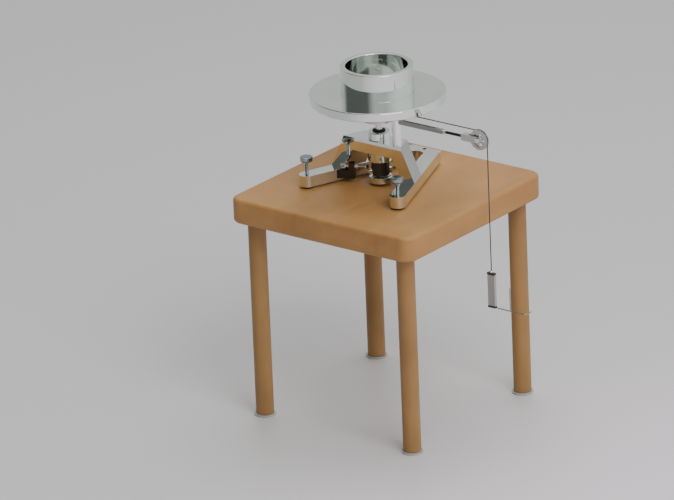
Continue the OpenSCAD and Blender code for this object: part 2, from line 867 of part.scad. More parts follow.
module guide_pulley() {
    floor_r = guide_pitch_r - cord_r - cord_gap;
    half = guide_w / 2;
    web_half = 1;
    hub_r = axle_d / 2 + 3;
    web_r = floor_r - 2.5;
    floor_half = cord_r + 0.25;
    color(steel) along_arm() translate([guide_x, 0, 0]) rotate([90, 0, 0]) difference() {
        rotate_extrude() polygon([
            [guide_bore_r, -half], [hub_r, -half], [hub_r, -web_half], [web_r, -web_half],
            [web_r, -half], [guide_rim_r, -half], [guide_rim_r, -half + 0.4],
            [floor_r, -floor_half], [floor_r, floor_half], [guide_rim_r, half - 0.4],
            [guide_rim_r, half], [web_r, half], [web_r, web_half], [hub_r, web_half],
            [hub_r, half], [guide_bore_r, half]
        ]);
        for (i = [0:hole_count - 1])
            rotate([0, 0, i * 360 / hole_count]) translate([(hub_r + web_r) / 2, 0, 0])
                cylinder(d = (web_r - hub_r) * 0.8, h = 3 * web_half, center = true);
    }
}

// Cord: one loose turn and the run on the frame, the other turns on the pulley.

module cord_winding() {
    color(dark) at_spindle()
        for (dz = [-wind_pitch, wind_pitch])
            translate([0, 0, cord_z + dz]) rotate_extrude() translate([drum_pitch_r, 0]) circle(d = cord_d);
}

module cord_run() {
    color(dark) at_spindle() {
        translate([0, 0, cord_z]) rotate_extrude(angle = 270)
            translate([drum_pitch_r, 0]) circle(d = cord_d);
        translate([0, cord_y, cord_z]) rod_x(cord_d, 0, guide_x);
        translate([guide_x, cord_y, guide_z]) rotate([90, 0, 0]) rotate_extrude(angle = 90)
            translate([guide_pitch_r, 0]) circle(d = cord_d);
    }
}

module cord_drop() {
    low = weight_top_z + eye_h;
    color(dark) at_spindle() translate([drop_x, cord_y, low]) cylinder(d = cord_d, h = guide_z - low);
}

// Weight: a bar with end caps and a wire that takes small loads.

module at_weight() {
    at_spindle() translate([drop_x, cord_y, 0]) children();
}

module weight_block(w, t, z0, z1) {
    translate([-w / 2, -t / 2, z0]) cube([w, t, z1 - z0]);
}

module weight_body() {
    color(steel) at_weight()
        weight_block(weight_w, weight_t, weight_low_z + cap_t, weight_top_z - cap_t);
}

module weight_top_cap() {
    color(dark) at_weight() weight_block(
        weight_w + 2 * cap_over, weight_t + 2 * cap_over, weight_top_z - cap_t, weight_top_z);
}

module weight_bottom_cap() {
    face = weight_w / 2 + cap_over;
    color(dark) at_weight() difference() {
        weight_block(
            weight_w + 2 * cap_over, weight_t + 2 * cap_over, weight_low_z, weight_low_z + cap_t);
        translate([0, 0, wire_z]) rod_x(wire_d, face - wire_grip, face + 1);
    }
}

module cord_eye() {
    color(steel) at_weight() translate([0, 0, weight_top_z]) cylinder(d = cord_d + 2.6, h = eye_h);
}

module loading_wire() {
    start = weight_w / 2 + cap_over - wire_grip;
    color(steel) at_weight() translate([0, 0, wire_z]) {
        rod_x(wire_d, start, wire_reach);
        translate([wire_reach, 0, 0]) sphere(d = wire_d);
        translate([wire_reach, 0, 0]) rotate([-90, 0, 0]) cylinder(d = wire_d, h = hook_l);
        translate([prong_x, 0, 0]) cylinder(d = wire_d, h = prong_h);
    }
}

// Lock plunger: its pad meets the drum between the lugs when the knob is pushed in.

module lock_bracket() {
    drop = lock_z - base_gap - 4;
    color(chrome) difference() {
        along_lock() difference() {
            translate([bracket_start, -bracket_w / 2, -drop]) union() {
                cube([bracket_l, bracket_w, drop + sleeve_d / 2 + 2]);
                cube([bracket_foot_l, bracket_w, bracket_foot_h]);
            }
            rod_x(sleeve_d, bracket_start - 1, sleeve_end + 1);
        }
        at_spindle() translate([0, 0, base_z - 1]) linear_extrude(base_t + 1) base_outline();
    }
}

module lock_sleeve() {
    color(steel) along_lock() difference() {
        rod_x(sleeve_d, sleeve_start, sleeve_end);
        rod_x(lock_rod_d + 2 * run_clear, sleeve_start - 1, sleeve_end + 1);
    }
}

spring_start = lock_tip + lock_pad_l + lock_collar_l + 0.2;
spring_r = lock_rod_d / 2 + spring_wire / 2 + 0.4;
spring_sides = 8;
spring_steps = 18;

function spring_point(i, k) =
    let (a = i * 360 / spring_steps,
         b = k * 360 / spring_sides,
         r = spring_r + spring_wire / 2 * cos(b),
         rise = sleeve_start - spring_start - spring_wire - 0.2)
    [spring_start + spring_wire / 2 + rise * i / (spring_turns * spring_steps) + spring_wire / 2 * sin(b),
     r * cos(a), r * sin(a)];

module lock_spring() {
    last = spring_turns * spring_steps;
    rings = [for (i = [0:last]) for (k = [0:spring_sides - 1]) spring_point(i, k)];
    sides = [for (i = [0:last - 1]) for (k = [0:spring_sides - 1])
        let (n = (k + 1) % spring_sides, a = i * spring_sides, b = a + spring_sides)
        [a + k, b + k, b + n, a + n]];
    ends = [
        [for (k = [0:spring_sides - 1]) k],
        [for (k = [spring_sides - 1:-1:0]) last * spring_sides + k]
    ];
    color(steel) along_lock() polyhedron(points = rings, faces = concat(sides, ends));
}

module lock_rod() {
    tip = lock_tip + lock_pad_l;
    color(chrome) along_lock() {
        rod_x(lock_rod_d, tip, knob_start + lock_knob_l - 2);
        rod_x(2 * spring_r + spring_wire, tip, tip + lock_collar_l);
    }
}

module lock_pad() {
    color(dark) along_lock() rod_x(2 * spring_r, lock_tip, lock_tip + lock_pad_l);
}

module lock_knob() {
    color(dark) along_lock() difference() {
        rod_x(lock_knob_d, knob_start, knob_start + lock_knob_l);
        rod_x(lock_rod_d, knob_start - 1, knob_start + lock_knob_l - 2);
    }
}

stand_top();
leg_front_left();
leg_front_right();
leg_back_left();
leg_back_right();
leg_glides();
base_frame();
front_pad_left();
front_pad_right();
rear_pad();
level_screw_left();
level_screw_right();
bridge();
bridge_screws();
bearing_housing();
ring_nut();
ring_nut_screws();
seal_ring();
upper_outer_race();
upper_inner_race();
upper_balls();
lower_outer_race();
lower_inner_race();
lower_balls();
spindle();
step_pulley();
pulley_set_screw();
index_drum();
drum_lugs();
foot_flange();
flange_set_screw();
disc();
centre_screw();
ring();
post();
post_screw();
arm_bar();
arm_set_screw();
arm_ferrule();
arm_rod();
pulley_yoke();
pulley_axle();
axle_clip();
guide_pulley();
cord_winding();
cord_run();
cord_drop();
weight_body();
weight_top_cap();
weight_bottom_cap();
cord_eye();
loading_wire();
lock_bracket();
lock_sleeve();
lock_spring();
lock_rod();
lock_pad();
lock_knob();
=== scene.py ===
"""A rotational inertia apparatus on a wooden stand, dressed around its CAD frame.

Each sub-assembly is a class. Its fields hold the sizes of what it makes, in millimetres, its
methods build the meshes with edit-mode operators, and each finish is a frozen dataclass.
"""

import logging
import math
import sys
from collections.abc import Callable
from dataclasses import dataclass
from enum import Enum

import bpy
from mathutils import Matrix, Vector


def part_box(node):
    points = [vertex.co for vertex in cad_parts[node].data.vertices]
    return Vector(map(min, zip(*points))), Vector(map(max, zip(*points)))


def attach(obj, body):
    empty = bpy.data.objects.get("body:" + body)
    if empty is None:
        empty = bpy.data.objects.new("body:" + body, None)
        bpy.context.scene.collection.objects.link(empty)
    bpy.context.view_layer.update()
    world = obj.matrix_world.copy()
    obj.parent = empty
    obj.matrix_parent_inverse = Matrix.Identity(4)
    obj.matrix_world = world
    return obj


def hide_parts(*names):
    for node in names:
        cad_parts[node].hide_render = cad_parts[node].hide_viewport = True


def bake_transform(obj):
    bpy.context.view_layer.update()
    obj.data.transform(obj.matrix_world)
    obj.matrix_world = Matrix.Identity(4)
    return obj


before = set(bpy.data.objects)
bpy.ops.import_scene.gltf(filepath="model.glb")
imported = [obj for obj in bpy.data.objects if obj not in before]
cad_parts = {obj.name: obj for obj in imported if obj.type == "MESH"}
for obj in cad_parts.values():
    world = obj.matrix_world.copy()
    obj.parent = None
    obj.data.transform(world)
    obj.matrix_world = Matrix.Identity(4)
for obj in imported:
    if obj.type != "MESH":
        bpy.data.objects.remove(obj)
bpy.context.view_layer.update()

LOG = logging.getLogger("inertia_apparatus")
MM = 0.001

Point = tuple[float, float, float]
Profile = list[tuple[float, float]]
Colour = tuple[float, float, float]


class Axis(Enum):
    """The axis that a turned piece is turned around."""

    X = (0.0, math.pi / 2, 0.0)
    Y = (math.pi / 2, 0.0, 0.0)
    Z = (0.0, 0.0, 0.0)


class Body(Enum):
    """The bodies of the moving model."""

    STAND = "stand"
    ROTOR = "rotor"
    RING = "ring"
    GUIDE = "guide_pulley"
    WEIGHT = "weight"
    LEFT_PAD = "left_pad"
    RIGHT_PAD = "right_pad"
    LEFT_SCREW = "left_screw"
    RIGHT_SCREW = "right_screw"
    LOCK = "lock"


# Node trees.


class Nodes:
    """A small writer of shader nodes for one material or world."""

    def __init__(self, tree: bpy.types.NodeTree) -> None:
        """Starts with an empty tree.

        Args:
            tree: The node tree to write.
        """
        self.tree = tree
        tree.nodes.clear()

    def add(self, kind: str, **values: object) -> bpy.types.Node:
        """Adds one node and sets its properties and input values.

        Args:
            kind: The node's type name.
            **values: A property by its name, or an input by its name with _ for each blank.

        Returns:
            The new node.
        """
        node = self.tree.nodes.new(kind)
        for key, value in values.items():
            if hasattr(node, key):
                setattr(node, key, value)
                continue
            socket = node.inputs[key.replace("_", " ")]
            self.feed(socket, value)
        return node

    def feed(self, socket: bpy.types.NodeSocket, value: object) -> None:
        """Gives an input a value or a link.

        Args:
            socket: The input.
            value: A number, a colour or another node's output.
        """
        if isinstance(value, bpy.types.NodeSocket):
            self.tree.links.new(value, socket)
        else:
            socket.default_value = value

    def place(self) -> bpy.types.NodeSocket:
        """The object's own coordinates, in metres."""
        return self.add("ShaderNodeTexCoord").outputs["Object"]

    def noise(self, where: bpy.types.NodeSocket, scale: float, detail: float = 3.0) -> bpy.types.NodeSocket:
        """Smooth noise.

        Args:
            where: The coordinates it reads.
            scale: Its scale, in waves a metre.
            detail: How many finer layers it has.

        Returns:
            The noise's factor.
        """
        node = self.add("ShaderNodeTexNoise", Scale=scale, Detail=detail)
        self.tree.links.new(where, node.inputs["Vector"])
        return node.outputs["Fac"]

    def stretched(self, where: bpy.types.NodeSocket, scale: Point) -> bpy.types.NodeSocket:
        """The same coordinates with each axis scaled.

        Args:
            where: The coordinates.
            scale: The scale along each axis.

        Returns:
            The scaled coordinates.
        """
        node = self.add("ShaderNodeMapping", Scale=scale)
        self.tree.links.new(where, node.inputs["Vector"])
        return node.outputs["Vector"]

    def spread(self, value: bpy.types.NodeSocket, low: float, high: float) -> bpy.types.NodeSocket:
        """Maps a factor around its middle to a range.

        Args:
            value: A factor, from about 0.3 to 0.7 in noise.
            low: What 0.3 becomes.
            high: What 0.7 becomes.

        Returns:
            The mapped value.
        """
        node = self.add("ShaderNodeMapRange", From_Min=0.3, From_Max=0.7, To_Min=low, To_Max=high)
        self.tree.links.new(value, node.inputs["Value"])
        return node.outputs["Result"]

    def ramp(self, value: bpy.types.NodeSocket, stops: list[tuple[float, Colour]]) -> bpy.types.NodeSocket:
        """A colour ramp.

        Args:
            value: The factor that it reads.
            stops: Places from 0 to 1, each with its colour.

        Returns:
            The colour.
        """
        node = self.add("ShaderNodeValToRGB")
        self.tree.links.new(value, node.inputs["Fac"])
        elements = node.color_ramp.elements
        while len(elements) < len(stops):
            elements.new(0.5)
        for element, (at, colour) in zip(elements, stops):
            element.position = at
            element.color = (*colour, 1.0)
        return node.outputs["Color"]

    def bump(self, height: bpy.types.NodeSocket, depth: float, strength: float = 1.0) -> bpy.types.NodeSocket:
        """A bump.

        Args:
            height: The height's factor.
            depth: The depth of the bump, in metres.
            strength: How much of it is used.

        Returns:
            The bent normal.
        """
        node = self.add("ShaderNodeBump", Strength=strength, Distance=depth)
        self.tree.links.new(height, node.inputs["Height"])
        return node.outputs["Normal"]

    def surface(self, **values: object) -> None:
        """Ends a material in a Principled shader with these inputs.

        Args:
            **values: Inputs of the shader by name, with _ for each blank.
        """
        shader = self.add("ShaderNodeBsdfPrincipled", **values)
        output = self.add("ShaderNodeOutputMaterial")
        self.tree.links.new(shader.outputs["BSDF"], output.inputs["Surface"])


def material(name: str) -> tuple[bpy.types.Material, Nodes]:
    """A new material with an empty tree.

    Args:
        name: The material's name.

    Returns:
        The material and the writer of its nodes.
    """
    made = bpy.data.materials.new(name)
    made.use_nodes = True
    return made, Nodes(made.node_tree)


# Finishes.


@dataclass(frozen=True)
class Wood:
    """Lacquered wood with a fine grain and soft blotches."""

    name: str
    pale: Colour
    deep: Colour
    grain: Point
    roughness: float = 0.5

    def make(self) -> bpy.types.Material:
        """Builds the material.

        Returns:
            The material.
        """
        made, nodes = material(self.name)
        place = nodes.place()
        blotch = nodes.noise(place, 9.0, 4.0)
        lines = nodes.noise(nodes.stretched(place, self.grain), 60.0, 6.0)
        pores = nodes.noise(nodes.stretched(place, self.grain), 420.0, 2.0)
        mixed = nodes.add("ShaderNodeMath", operation="MULTIPLY_ADD")
        nodes.feed(mixed.inputs[0], lines)
        nodes.feed(mixed.inputs[1], 0.45)
        nodes.feed(mixed.inputs[2], nodes.spread(blotch, 0.12, 0.42))
        tint = nodes.ramp(mixed.outputs["Value"], [(0.28, self.deep), (0.72, self.pale)])
        nodes.surface(
            Base_Color=tint,
            Roughness=nodes.spread(lines, self.roughness - 0.07, self.roughness + 0.08),
            Normal=nodes.bump(pores, 0.00025, 0.35),
        )
        return made


@dataclass(frozen=True)
class Metal:
    """Bare or plated metal with faint smears and fine marks."""

    name: str
    colour: Colour
    roughness: float
    smear: float = 0.02
    marks: float = 0.0
    marks_along: Point = (1.0, 1.0, 1.0)

    def make(self) -> bpy.types.Material:
        """Builds the material.

        Returns:
            The material.
        """
        made, nodes = material(self.name)
        place = nodes.place()
        cloud = nodes.noise(place, 28.0, 5.0)
        dark = tuple(channel * 0.94 for channel in self.colour)
        tint = nodes.ramp(cloud, [(0.3, dark), (0.65, self.colour)])
        low = max(0.01, self.roughness - self.smear)
        inputs: dict[str, object] = {
            "Base_Color": tint,
            "Metallic": 1.0,
            "Roughness": nodes.spread(cloud, low, self.roughness + self.smear),
        }
        if self.marks:
            fine = nodes.noise(nodes.stretched(place, self.marks_along), 900.0, 2.0)
            inputs["Normal"] = nodes.bump(fine, 0.00004, self.marks)
        nodes.surface(**inputs)
        return made


@dataclass(frozen=True)
class Coated:
    """Paint, plastic or rubber: a coloured skin with a fine texture."""

    name: str
    colour: Colour
    roughness: float
    grain: float = 1400.0
    depth: float = 0.00005
    gloss: float = 0.0

    def make(self) -> bpy.types.Material:
        """Builds the material.

        Returns:
            The material.
        """
        made, nodes = material(self.name)
        place = nodes.place()
        cloud = nodes.noise(place, 60.0, 4.0)
        fine = nodes.noise(place, self.grain, 2.0)
        dark = tuple(channel * 0.85 for channel in self.colour)
        nodes.surface(
            Base_Color=nodes.ramp(cloud, [(0.3, dark), (0.7, self.colour)]),
            Roughness=nodes.spread(fine, self.roughness - 0.05, self.roughness + 0.06),
            Normal=nodes.bump(fine, self.depth, 0.4),
            Coat_Weight=self.gloss,
            Coat_Roughness=0.08,
        )
        return made


@dataclass(frozen=True)
class Cordage:
    """Twisted nylon, with strands that show as a fine slanting pattern."""

    name: str
    colour: Colour

    def make(self) -> bpy.types.Material:
        """Builds the material.

        Returns:
            The material.
        """
        made, nodes = material(self.name)
        place = nodes.place()
        fibres = nodes.noise(place, 2600.0, 3.0)
        pale = tuple(min(1.0, channel * 2.4 + 0.01) for channel in self.colour)
        nodes.surface(
            Base_Color=nodes.ramp(fibres, [(0.35, self.colour), (0.75, pale)]),
            Roughness=nodes.spread(fibres, 0.55, 0.8),
            Normal=nodes.bump(fibres, 0.0001, 0.6),
            Sheen_Weight=0.25,
        )
        return made


WOOD_TOP = Wood("wood_top", (0.46, 0.235, 0.068), (0.33, 0.155, 0.042), (1.0, 0.12, 1.0))
WOOD_LEG = Wood("wood_leg", (0.37, 0.205, 0.062), (0.25, 0.125, 0.038), (1.0, 1.0, 0.1))
CHROME = Metal("polished_chrome", (0.80, 0.83, 0.81), 0.03, 0.012)
DISC_CHROME = Metal("polished_disc", (0.80, 0.835, 0.81), 0.055, 0.02, 0.05)
RING_CHROME = Metal("polished_ring", (0.76, 0.80, 0.77), 0.045, 0.02, 0.05)
WHITE_STEEL = Metal("white_steel", (0.93, 0.93, 0.93), 0.16, 0.04)
GROUND = Metal("ground_steel", (0.70, 0.71, 0.71), 0.2, 0.05, 0.3, (1.0, 1.0, 14.0))
SCREW = Metal("screw_steel", (0.29, 0.36, 0.38), 0.18, 0.04)
BLACKENED = Metal("blackened_steel", (0.07, 0.07, 0.07), 0.32, 0.06)
GREY = Metal("grey_aluminium", (0.33, 0.335, 0.33), 0.3, 0.06, 0.25, (0.1, 1.0, 1.0))
PALE = Metal("pale_aluminium", (0.62, 0.63, 0.62), 0.34, 0.05, 0.2)
BAR = Metal("weight_steel", (0.48, 0.465, 0.465), 0.36, 0.06, 0.3, (1.0, 1.0, 0.1))
WIRE = Metal("drawn_wire", (0.34, 0.32, 0.29), 0.3, 0.05)
BLACK = Coated("black_anodised", (0.018, 0.018, 0.016), 0.28, gloss=0.3)
PLASTIC = Coated("black_plastic", (0.03, 0.03, 0.03), 0.42)
RUBBER = Coated("black_rubber", (0.022, 0.022, 0.022), 0.68, 900.0, 0.0001)
GLIDE = Coated("grey_glide", (0.42, 0.41, 0.42), 0.35, gloss=0.2)
NYLON = Cordage("black_nylon", (0.02, 0.02, 0.02))


class Finishes:
    """Makes each finish once and hands it out."""

    def __init__(self) -> None:
        """Starts with nothing made."""
        self.made: dict[str, bpy.types.Material] = {}

    def of(self, finish: Wood | Metal | Coated | Cordage) -> bpy.types.Material:
        """The material of a finish.

        Args:
            finish: The finish.

        Returns:
            Its material, made on first use.
        """
        if finish.name not in self.made:
            self.made[finish.name] = finish.make()
        return self.made[finish.name]


FINISHES = Finishes()


# The bench: how a mesh is made.


class Bench:
    """Makes meshes with the operators that a person would use in edit mode, in millimetres."""

    @staticmethod
    def clear() -> None:
        """Leaves edit mode and deselects everything."""
        if bpy.context.object and bpy.context.object.mode != "OBJECT":
            bpy.ops.object.mode_set(mode="OBJECT")
        bpy.ops.object.select_all(action="DESELECT")

    @staticmethod
    def pick(piece: bpy.types.Object) -> None:
        """Selects one object and makes it active."""
        Bench.clear()
        piece.select_set(True)
        bpy.context.view_layer.objects.active = piece

    @staticmethod
    def edit(piece: bpy.types.Object, mode: str = "VERT", action: str = "SELECT") -> None:
        """Opens one object in edit mode.

        Args:
            piece: The object.
            mode: The select mode.
            action: What is done to its whole selection.
        """
        Bench.pick(piece)
        bpy.ops.object.mode_set(mode="EDIT")
        bpy.ops.mesh.select_mode(type=mode)
        bpy.ops.mesh.select_all(action=action)

    @staticmethod
    def apply(piece: bpy.types.Object, kind: str, **values: object) -> None:
        """Adds a modifier and applies it.

        Args:
            piece: The object.
            kind: The modifier's type.
            **values: Its settings.
        """
        Bench.pick(piece)
        modifier = piece.modifiers.new(kind.title(), kind)
        for key, value in values.items():
            setattr(modifier, key, value)
        bpy.ops.object.modifier_apply(modifier=modifier.name)

    @staticmethod
    def done(piece: bpy.types.Object, angle: float = 35.0) -> bpy.types.Object:
        """Applies the object's place, shades it and keeps its flat faces flat.

        Args:
            piece: The object.
            angle: Edges sharper than this many degrees stay sharp.

        Returns:
            The same object.
        """
        Bench.pick(piece)
        bpy.ops.object.transform_apply(location=True, rotation=True, scale=True)
        bpy.ops.object.shade_smooth_by_angle(angle=math.radians(angle))
        Bench.apply(piece, "WEIGHTED_NORMAL", mode="FACE_AREA", weight=60, keep_sharp=True)
        Bench.clear()
        return piece

    @staticmethod
    def mend(piece: bpy.types.Object, gap: float = 0.002) -> None:
        """Merges doubled points and turns every face outwards.

        Args:
            piece: The object.
            gap: The distance within which points are merged.
        """
        Bench.edit(piece)
        bpy.ops.mesh.remove_doubles(threshold=gap * MM)
        bpy.ops.mesh.normals_make_consistent(inside=False)
        bpy.ops.object.mode_set(mode="OBJECT")

    @staticmethod
    def close(piece: bpy.types.Object) -> None:
        """Closes a piece's open rims with faces."""
        Bench.edit(piece, "EDGE", "DESELECT")
        bpy.ops.mesh.select_non_manifold(extend=False)
        bpy.ops.mesh.edge_face_add()
        bpy.ops.object.mode_set(mode="OBJECT")
        Bench.mend(piece)

    @staticmethod
    def rounded(profile: Profile, radius: float, steps: int = 4) -> Profile:
        """Rounds a profile's inner corners with arcs.

        Args:
            profile: The corners as radius and height.
            radius: The arcs' radius, less where an edge is short.
            steps: The number of straight pieces in an arc.

        Returns:
            The profile with its corners rounded.
        """
        out: Profile = [profile[0]]
        for before, corner, after in zip(profile, profile[1:], profile[2:]):
            here = Vector(corner)
            back, on = Vector(before) - here, Vector(after) - here
            reach = min(radius, back.length * 0.45, on.length * 0.45)
            start, end = here + back.normalized() * reach, here + on.normalized() * reach
            for step in range(steps + 1):
                t = step / steps
                bent = start * (1 - t) ** 2 + here * 2 * t * (1 - t) + end * t**2
                out.append((bent.x, bent.y))
        out.append(profile[-1])
        return out

    @staticmethod
    def turned(
        name: str,
        profile: Profile,
        at: Point,
        axis: Axis = Axis.Z,
        segments: int = 96,
        edge: float = 0.0,
        bore: bool = False,
        cut: Callable[[bpy.types.Object], None] | None = None,
    ) -> bpy.types.Object:
        """Turns a piece on the lathe: a ring is extruded from point to point of a profile.

        Args:
            name: The piece's name.
            profile: Radius and height of each corner, from one end to the other.
            at: Where the profile's origin goes.
            axis: The axis that the piece is turned around.
            segments: The number of sides.
            edge: The radius that rounds the corners.
            bore: Whether the profile closes on itself round a bore.
            cut: What is cut into the piece before it is placed.

        Returns:
            The piece.
        """
        points = list(profile)
        if bore:
            split = (Vector(points[0]) + Vector(points[1])) / 2
            points = [(split.x, split.y), *points[1:], points[0], (split.x, split.y)]
        if edge:
            points = Bench.rounded(points, edge)
        radius, height = points[0]
        Bench.clear()
        bpy.ops.mesh.primitive_circle_add(
            vertices=segments,
            radius=radius * MM,
            location=(0, 0, height * MM),
            fill_type="NOTHING" if bore else "NGON",
        )
        piece = bpy.context.object
        piece.name = name
        bpy.ops.object.transform_apply(location=True)
        bpy.ops.object.mode_set(mode="EDIT")
        bpy.ops.mesh.select_mode(type="EDGE")
        bpy.ops.mesh.select_all(action="SELECT")
        for next_radius, next_height in points[1:]:
            rise = (next_height - height) * MM
            bpy.ops.mesh.extrude_edges_move(TRANSFORM_OT_translate={"value": (0, 0, rise)})
            ratio = next_radius / radius
            bpy.ops.transform.resize(value=(ratio, ratio, 1), center_override=(0, 0, next_height * MM))
            radius, height = next_radius, next_height
        if not bore:
            bpy.ops.mesh.edge_face_add()
        bpy.ops.object.mode_set(mode="OBJECT")
        Bench.mend(piece)
        if cut:
            cut(piece)
        piece.rotation_euler = axis.value
        piece.location = Vector(at) * MM
        return Bench.done(piece)

    @staticmethod
    def soften(piece: bpy.types.Object, edge: float, steps: int = 3, angle: float = 30.0) -> None:
        """Rounds an object's sharp edges.

        Args:
            piece: The object.
            edge: The radius.
            steps: The number of faces across an edge.
            angle: Edges sharper than this many degrees are rounded.
        """
        Bench.apply(
            piece,
            "BEVEL",
            width=edge * MM,
            segments=steps,
            limit_method="ANGLE",
            angle_limit=math.radians(angle),
            use_clamp_overlap=True,
        )

    @staticmethod
    def block(
        name: str, low: Point, high: Point, edge: float, corner: float = 0.0, steps: int = 3
    ) -> bpy.types.Object:
        """A bar or slab with rounded edges.

        Args:
            name: The piece's name.
            low: Its lowest corner.
            high: Its highest corner.
            edge: The radius of its edges.
            corner: The radius of its upright corners, where it is larger.
            steps: The number of faces across an edge.

        Returns:
            The piece.
        """
        Bench.clear()
        centre = (Vector(low) + Vector(high)) / 2
        bpy.ops.mesh.primitive_cube_add(size=MM, location=centre * MM, scale=Vector(high) - Vector(low))
        piece = bpy.context.object
        piece.name = name
        bpy.ops.object.transform_apply(location=True, scale=True)
        if corner:
            Bench.edit(piece, "EDGE", "DESELECT")
            bpy.ops.object.mode_set(mode="OBJECT")
            points = piece.data.vertices
            for rim in piece.data.edges:
                across = points[rim.vertices[0]].co - points[rim.vertices[1]].co
                rim.select = abs(across.x) + abs(across.y) < MM
            bpy.ops.object.mode_set(mode="EDIT")
            bpy.ops.mesh.bevel(offset=corner * MM, segments=14, affect="EDGES")
            bpy.ops.object.mode_set(mode="OBJECT")
        Bench.soften(piece, edge, steps)
        return Bench.done(piece)

    @staticmethod
    def from_cad(name: str, node: str, edge: float, steps: int = 3) -> bpy.types.Object:
        """A copy of a CAD node with its points merged and its sharp edges rounded.

        Args:
            name: The piece's name.
            node: The CAD node.
            edge: The radius of its edges.
            steps: The number of faces across an edge.

        Returns:
            The piece.
        """
        piece = bpy.data.objects.new(name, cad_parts[node].data.copy())
        bpy.context.scene.collection.objects.link(piece)
        Bench.mend(piece, 0.004)
        Bench.edit(piece)
        bpy.ops.mesh.dissolve_limited(angle_limit=math.radians(0.8))
        bpy.ops.object.mode_set(mode="OBJECT")
        Bench.soften(piece, edge, steps)
        return Bench.done(piece)

    @staticmethod
    def wire(
        name: str, start: Point, heading: Point, radius: float, moves: list[tuple[float, Point, float]]
    ) -> bpy.types.Object:
        """Draws a wire: a circle is extruded along straight pieces and spun round bends.

        Args:
            name: The piece's name.
            start: Where the wire begins.
            heading: The way that it sets out.
            radius: The wire's radius.
            moves: For each straight piece its length, the next heading and the bend's radius.

        Returns:
            The piece.
        """
        here, ahead = Vector(start), Vector(heading).normalized()
        Bench.clear()
        turn = Vector((0, 0, 1)).rotation_difference(ahead).to_euler()
        bpy.ops.mesh.primitive_circle_add(
            vertices=20, radius=radius * MM, location=here * MM, rotation=turn
        )
        piece = bpy.context.object
        piece.name = name
        bpy.ops.object.transform_apply(location=True, rotation=True)
        bpy.ops.object.mode_set(mode="EDIT")
        bpy.ops.mesh.select_mode(type="EDGE")
        bpy.ops.mesh.select_all(action="SELECT")
        for length, towards, bend in moves:
            bpy.ops.mesh.extrude_edges_move(TRANSFORM_OT_translate={"value": ahead * length * MM})
            here += ahead * length
            nxt = Vector(towards)
            if bend and nxt.length:
                nxt.normalize()
                axis = ahead.cross(nxt).normalized()
                inward = axis.cross(ahead)
                centre = here + inward * bend
                angle = ahead.angle(nxt)
                bpy.ops.mesh.spin(steps=10, angle=-angle, center=centre * MM, axis=axis)
                here = centre + Matrix.Rotation(angle, 3, axis) @ (here - centre)
                ahead = nxt
        bpy.ops.object.mode_set(mode="OBJECT")
        Bench.close(piece)
        return Bench.done(piece)

    @staticmethod
    def tube(
        name: str, path: list[Vector], radius: float, strands: int, lay: float, loop: bool = False
    ) -> bpy.types.Object:
        """Sweeps a stranded section along a cord's path.

        Args:
            name: The piece's name.
            path: The points down its middle.
            radius: Its outer radius.
            strands: The number of strands.
            lay: The length over which the strands turn once.
            loop: Whether the path closes on itself.

        Returns:
            The piece.
        """
        sides, count = 5 * strands, len(path)
        ends = count if loop else count - 1
        steps = [(path[(i + 1) % count] - path[i]).length for i in range(ends)]
        if loop:
            lay = sum(steps) / round(sum(steps) / lay)
        points: list[Vector] = []
        normal, travelled = Vector((0, 0, 1)), 0.0
        for i, here in enumerate(path):
            before = path[i - 1] if i or loop else here
            after = path[(i + 1) % count] if i + 1 < count or loop else here
            along = (after - before).normalized()
            if i == 0 and abs(along.z) > 0.9:
                normal = Vector((1, 0, 0))
            normal = (normal - along * normal.dot(along)).normalized()
            side = along.cross(normal)
            for k in range(sides):
                a = 2 * math.pi * k / sides
                swell = 0.8 + 0.2 * abs(math.cos(strands * (a - 2 * math.pi * travelled / lay) / 2))
                points.append((here + (normal * math.cos(a) + side * math.sin(a)) * radius * swell) * MM)
            travelled += steps[i] if i < ends else 0.0
        faces = []
        for i in range(ends):
            for k in range(sides):
                n, a, b = (k + 1) % sides, i * sides, (i + 1) % count * sides
                faces.append((a + k, a + n, b + n, b + k))
        if not loop:
            faces += [tuple(range(sides)), tuple((count - 1) * sides + k for k in range(sides))]
        mesh = bpy.data.meshes.new(name)
        mesh.from_pydata([tuple(p) for p in points], [], faces)
        piece = bpy.data.objects.new(name, mesh)
        bpy.context.scene.collection.objects.link(piece)
        Bench.mend(piece, 0.0005)
        Bench.pick(piece)
        bpy.ops.object.shade_smooth_by_angle(angle=math.radians(50))
        Bench.clear()
        return piece


@dataclass(frozen=True)
class Flutes:
    """Upright flutes round a turned piece, made by drawing in every other column."""

    low: float
    high: float
    depth: float

    def __call__(self, piece: bpy.types.Object) -> None:
        """Cuts the flutes.

        Args:
            piece: A piece turned around Z at the origin.
        """
        band = [v for v in piece.data.vertices if self.low * MM <= v.co.z <= self.high * MM]
        outer = max(v.co.xy.length for v in band)
        rim = [v for v in band if v.co.xy.length > outer * 0.93]
        angles = [math.atan2(v.co.y, v.co.x) % (2 * math.pi) for v in rim]
        step = 2 * math.pi / len({round(a, 3) % 6.283 for a in angles})
        for v, a in zip(rim, angles):
            if round(a / step) % 2:
                v.co.xy *= 1 - self.depth * MM / v.co.xy.length


